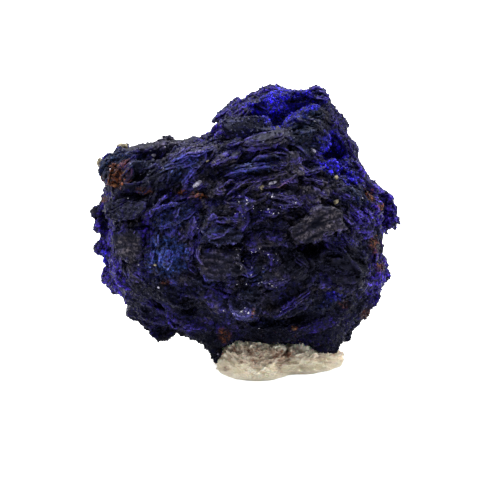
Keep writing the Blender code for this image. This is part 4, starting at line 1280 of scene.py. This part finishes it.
# %% [markdown]
# ## Onto the solid
#
# Every piece now gets its finish, rides on the specimen's one body, and stands for the CAD solid, which stays
# hidden.

# %% Finish and fasten the pieces
finishes = {
    crust_finish: (front, back), leaf_finish: (sheets, chips), crystal_finish: (*druse, sugar),
    calcite_finish: (calcite,), painted_glint_finish: (painted_glints,), clay_finish: (knobs,),
    limonite_finish: (limonite, rust),
}
bpy.data.objects.remove(body)
for finish, pieces in finishes.items():
    for piece in pieces:
        piece.data.materials.append(finish)
        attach(piece, "root")
        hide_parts("azurite")
print("pieces of azurite:", sum(len(pieces) for pieces in finishes.values()))

# %% [markdown]
# ## The putty
#
# Mineral tack is a soft, waxy putty. Pressed by a thumb, picked up and pressed again, it is lumpy and torn at
# its edges, and it takes on brown dust from the specimen. Two lobes meet in a cleft near the middle of its
# front. Like the azurite, it is a remeshed copy of its solid, pushed in and out. The noise is squeezed in
# height, so that the tears run level, and it fades out at the table, where the putty is pressed flat.

# %% Shape the putty
TACK_GRID = 0.16  # mm
TEAR_SIZE, TEAR_SQUEEZE, TEAR_DEPTH = 2.4, 2.4, 1.3
CLEFT_PLACE, CLEFT_LEAN, CLEFT_WIDTH, CLEFT_DEPTH = 5.6, 0.25, 0.3, 1.0
putty = copy_of_node("mounting_putty", "putty_wad")
apply_modifier(putty, "even skin", "REMESH", mode="VOXEL", voxel_size=TACK_GRID * MM)
apply_modifier(putty, "soften", "SMOOTH", factor=0.5, iterations=4)
putty_points = points_of(putty.data)
layered = putty_points * np.array([1.0, 1.0, TEAR_SQUEEZE])
torn = 0.6 - TEAR_DEPTH * np.abs(noise_at(layered, TEAR_SIZE, 41, 4)) + noise_at(layered, 0.7, 42, 3) * 0.3
torn += (cobbles(putty_points, 1.3) - 0.4) * 0.4 + (cobbles(putty_points, 0.6) - 0.4) * 0.2
across, height = as_seen(putty_points)
swing = 0.35 * noise_at(putty_points, 1.4, 43, 2)
from_cleft = (across - CLEFT_PLACE - CLEFT_LEAN * height + swing) / CLEFT_WIDTH
torn -= CLEFT_DEPTH * (np.exp(-from_cleft ** 2) * front_share(putty_points))
clear_of_floor = ramp(putty_points[:, 2], 0.1, 0.9)
putty_points += push_ways(putty.data) * (torn * clear_of_floor)[:, None]
putty_points[:, 2] = np.maximum(putty_points[:, 2], 0.0)
set_points(putty.data, putty_points)
print("putty:", len(putty.data.polygons), "squares")

# %% [markdown]
# ### Mineral tack
#
# Tack is wax and chalk: matte and cream white, with a little light under its surface and fine pits. The dusty
# and the stained places are ovals on the front, like the azurite's zones.

# %% The putty's finish
PUTTY_ZONES = {
    "stain": (
        (5.8, 1.8, 2.0, 1.0, 14, 1.0), (5.2, 0.2, 0.4, 1.4, 10, 0.7), (-2.9, 0.0, 0.7, 0.5, 0, 0.7),
        (-0.6, 2.6, 1.6, 0.5, -10, 0.7), (3.0, 1.3, 1.4, 0.3, -20, 0.5), (12.0, 0.9, 1.0, 0.2, -10, 0.5),
    ),
    "dust": (
        (1.0, 2.2, 3.8, 1.6, -6, 1.0), (4.6, 2.2, 3.6, 1.0, 0, 1.0), (10.4, 1.8, 3.4, 0.6, 4, 0.6),
        (2.2, 0.8, 1.8, 0.7, 0, 0.5),
    ),
}
PUTTY_SHARES = {"stain": 0.3, "dust": 0.5}
CREAM, TAUPE, BROWN = "#fff6e2", "#a58a74", "#74432a"
BLOTCH_MM, PIT_MM = 1.2, 0.35


def putty_finish():
    """Cream wax with taupe dust and brown stains, matte, with fine pits."""
    finish, tree, surface = new_finish("mineral_tack")
    place = add_node(tree, "ShaderNodeTexCoord").outputs["Object"]
    blotch = add_node(tree, "ShaderNodeTexNoise", Vector=place, Scale=scale_for(BLOTCH_MM), Detail=5.0,
                      Roughness=0.7)
    colour = linear(CREAM)
    for zone, hue, low in (("dust", TAUPE, 0.4), ("stain", BROWN, 0.42)):
        mask = add_node(tree, "ShaderNodeAttribute", {"attribute_name": zone}).outputs["Fac"]
        uneven = add_node(tree, "ShaderNodeMapRange", Value=blotch.outputs["Fac"], From_Min=low,
                          From_Max=low + 0.2, To_Min=0.25)
        amount = add_node(tree, "ShaderNodeMath", {"operation": "MULTIPLY"}, i0=mask, i1=uneven.outputs[0])
        colour = add_node(tree, "ShaderNodeMix", {"data_type": "RGBA"}, i0=amount.outputs[0], i6=colour,
                          i7=linear(hue)).outputs[2]
    tree.links.new(colour, surface.inputs["Base Color"])
    surface.inputs["Roughness"].default_value = 0.7
    surface.inputs["Subsurface Weight"].default_value = 0.12
    surface.inputs["Subsurface Scale"].default_value = 1.2 * MM
    pits = add_node(tree, "ShaderNodeTexNoise", Vector=place, Scale=scale_for(PIT_MM), Detail=4.0)
    bump = add_node(tree, "ShaderNodeBump", Strength=0.6, Distance=0.15 * MM, Height=pits.outputs["Fac"])
    tree.links.new(bump.outputs[0], surface.inputs["Normal"])
    return finish


store_masks(putty.data, zone_masks(points_of(putty.data), PUTTY_ZONES, PUTTY_SHARES))
putty.data.materials.append(putty_finish())
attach(putty, "root")
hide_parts("mounting_putty")

# %% [markdown]
# ## Floor, light and camera
#
# Specimens are shown on a product table: a matte white sheet, lit until it is nearly pure white. Here the
# floor also glows a little, but only to the camera, so that it doesn't light the specimen from below.

# %% The floor
FLOOR_GLOW = 0.78
bpy.ops.object.select_all(action="DESELECT")
bpy.ops.mesh.primitive_plane_add(size=4.0, location=(0, 0, 0))
floor = bpy.context.active_object
floor.name = "floor"
floor_finish, floor_tree, floor_surface = new_finish("white_table")
floor_surface.inputs["Base Color"].default_value = linear("#f4f4f2")
floor_surface.inputs["Roughness"].default_value = 0.9
floor_surface.inputs["Specular IOR Level"].default_value = 0.1
seen = add_node(floor_tree, "ShaderNodeLightPath").outputs["Is Camera Ray"]
floor_surface.inputs["Emission Color"].default_value = linear("#ffffff")
glow = add_node(floor_tree, "ShaderNodeMath", {"operation": "MULTIPLY"}, i0=seen, i1=FLOOR_GLOW)
floor_tree.links.new(glow.outputs[0], floor_surface.inputs["Emission Strength"])
floor.data.materials.append(floor_finish)
print("floor:", round(floor.dimensions.x, 1), "m wide")

# %% [markdown]
# A large soft box overhead gives the main light, and two weaker ones at the sides lift the rims. Round them
# stands a light tent, which is the world here: dim in front, so that the clefts stay dark, and bright behind.
# The camera sees it plain white.

# %% Soft boxes and the light tent
BOX_AIM = (0.0, 0.0, 0.02)
SOFT_BOXES = (  # place and size in metres, and watts
    ("soft_box_above", (0.0, 0.12, 0.55), 0.4, 6.5), ("soft_box_left", (-0.45, 0.05, 0.3), 0.3, 1.6),
    ("soft_box_right", (0.45, 0.05, 0.25), 0.3, 1.2),
)
TENT_FRONT, TENT_BACK = 0.36, 0.9


def add_soft_box(name, place, size, power):
    """A square area light at that place, aimed at the specimen."""
    bpy.ops.object.light_add(type="AREA", location=place)
    box = bpy.context.active_object
    box.name = name
    box.data.size = size
    box.data.energy = power
    box.rotation_euler = (Vector(BOX_AIM) - Vector(place)).to_track_quat("-Z", "Y").to_euler()


for box in SOFT_BOXES:
    add_soft_box(*box)
world = bpy.data.worlds.new("light_tent")
world.use_nodes = True
tent = world.node_tree
way = add_node(tent, "ShaderNodeSeparateXYZ", Vector=add_node(tent, "ShaderNodeTexCoord").outputs["Generated"])
from_behind = add_node(tent, "ShaderNodeMapRange", Value=way.outputs["Y"], From_Min=-0.35, From_Max=0.6,
                       To_Min=TENT_FRONT, To_Max=TENT_BACK)
camera_ray = add_node(tent, "ShaderNodeLightPath").outputs["Is Camera Ray"]
tent_glow = add_node(tent, "ShaderNodeMix", i0=camera_ray, i2=from_behind.outputs[0], i3=1.0)
tent.links.new(tent_glow.outputs[0], tent.nodes["Background"].inputs["Strength"])
tent.nodes["Background"].inputs["Color"].default_value = (1, 1, 1, 1)
bpy.context.scene.world = world
bpy.context.scene.view_settings.view_transform = "Standard"
print("soft boxes:", len(SOFT_BOXES))

# %% [markdown]
# The camera has a long lens, so that near parts don't look too large, and it looks along the layout's own
# eye, down by 13 degrees. The focal length follows from how much it has to take in at that distance.

# %% The camera
CAMERA_DISTANCE = 0.45
SENSOR = 36.0  # mm
VIEW_WIDTH = 500 / 6.7  # mm taken in at the specimen: 500 pixels at 6.7 to the mm
VIEW_MIDDLE = (0.75, 17.52)  # across and height
camera_data = bpy.data.cameras.new("camera")
camera = bpy.data.objects.new("camera", camera_data)
bpy.context.scene.collection.objects.link(camera)
camera_data.sensor_width = SENSOR
camera_data.lens = SENSOR * CAMERA_DISTANCE / (VIEW_WIDTH * MM)
target = (LAYOUT_ORIGIN + RIGHT * VIEW_MIDDLE[0] + EYE_UP * VIEW_MIDDLE[1]) * MM
camera.location = Vector(target - EYE * CAMERA_DISTANCE)
camera.rotation_euler = Vector(EYE).to_track_quat("-Z", "Y").to_euler()
bpy.context.scene.camera = camera
print("lens:", round(camera_data.lens), "mm")
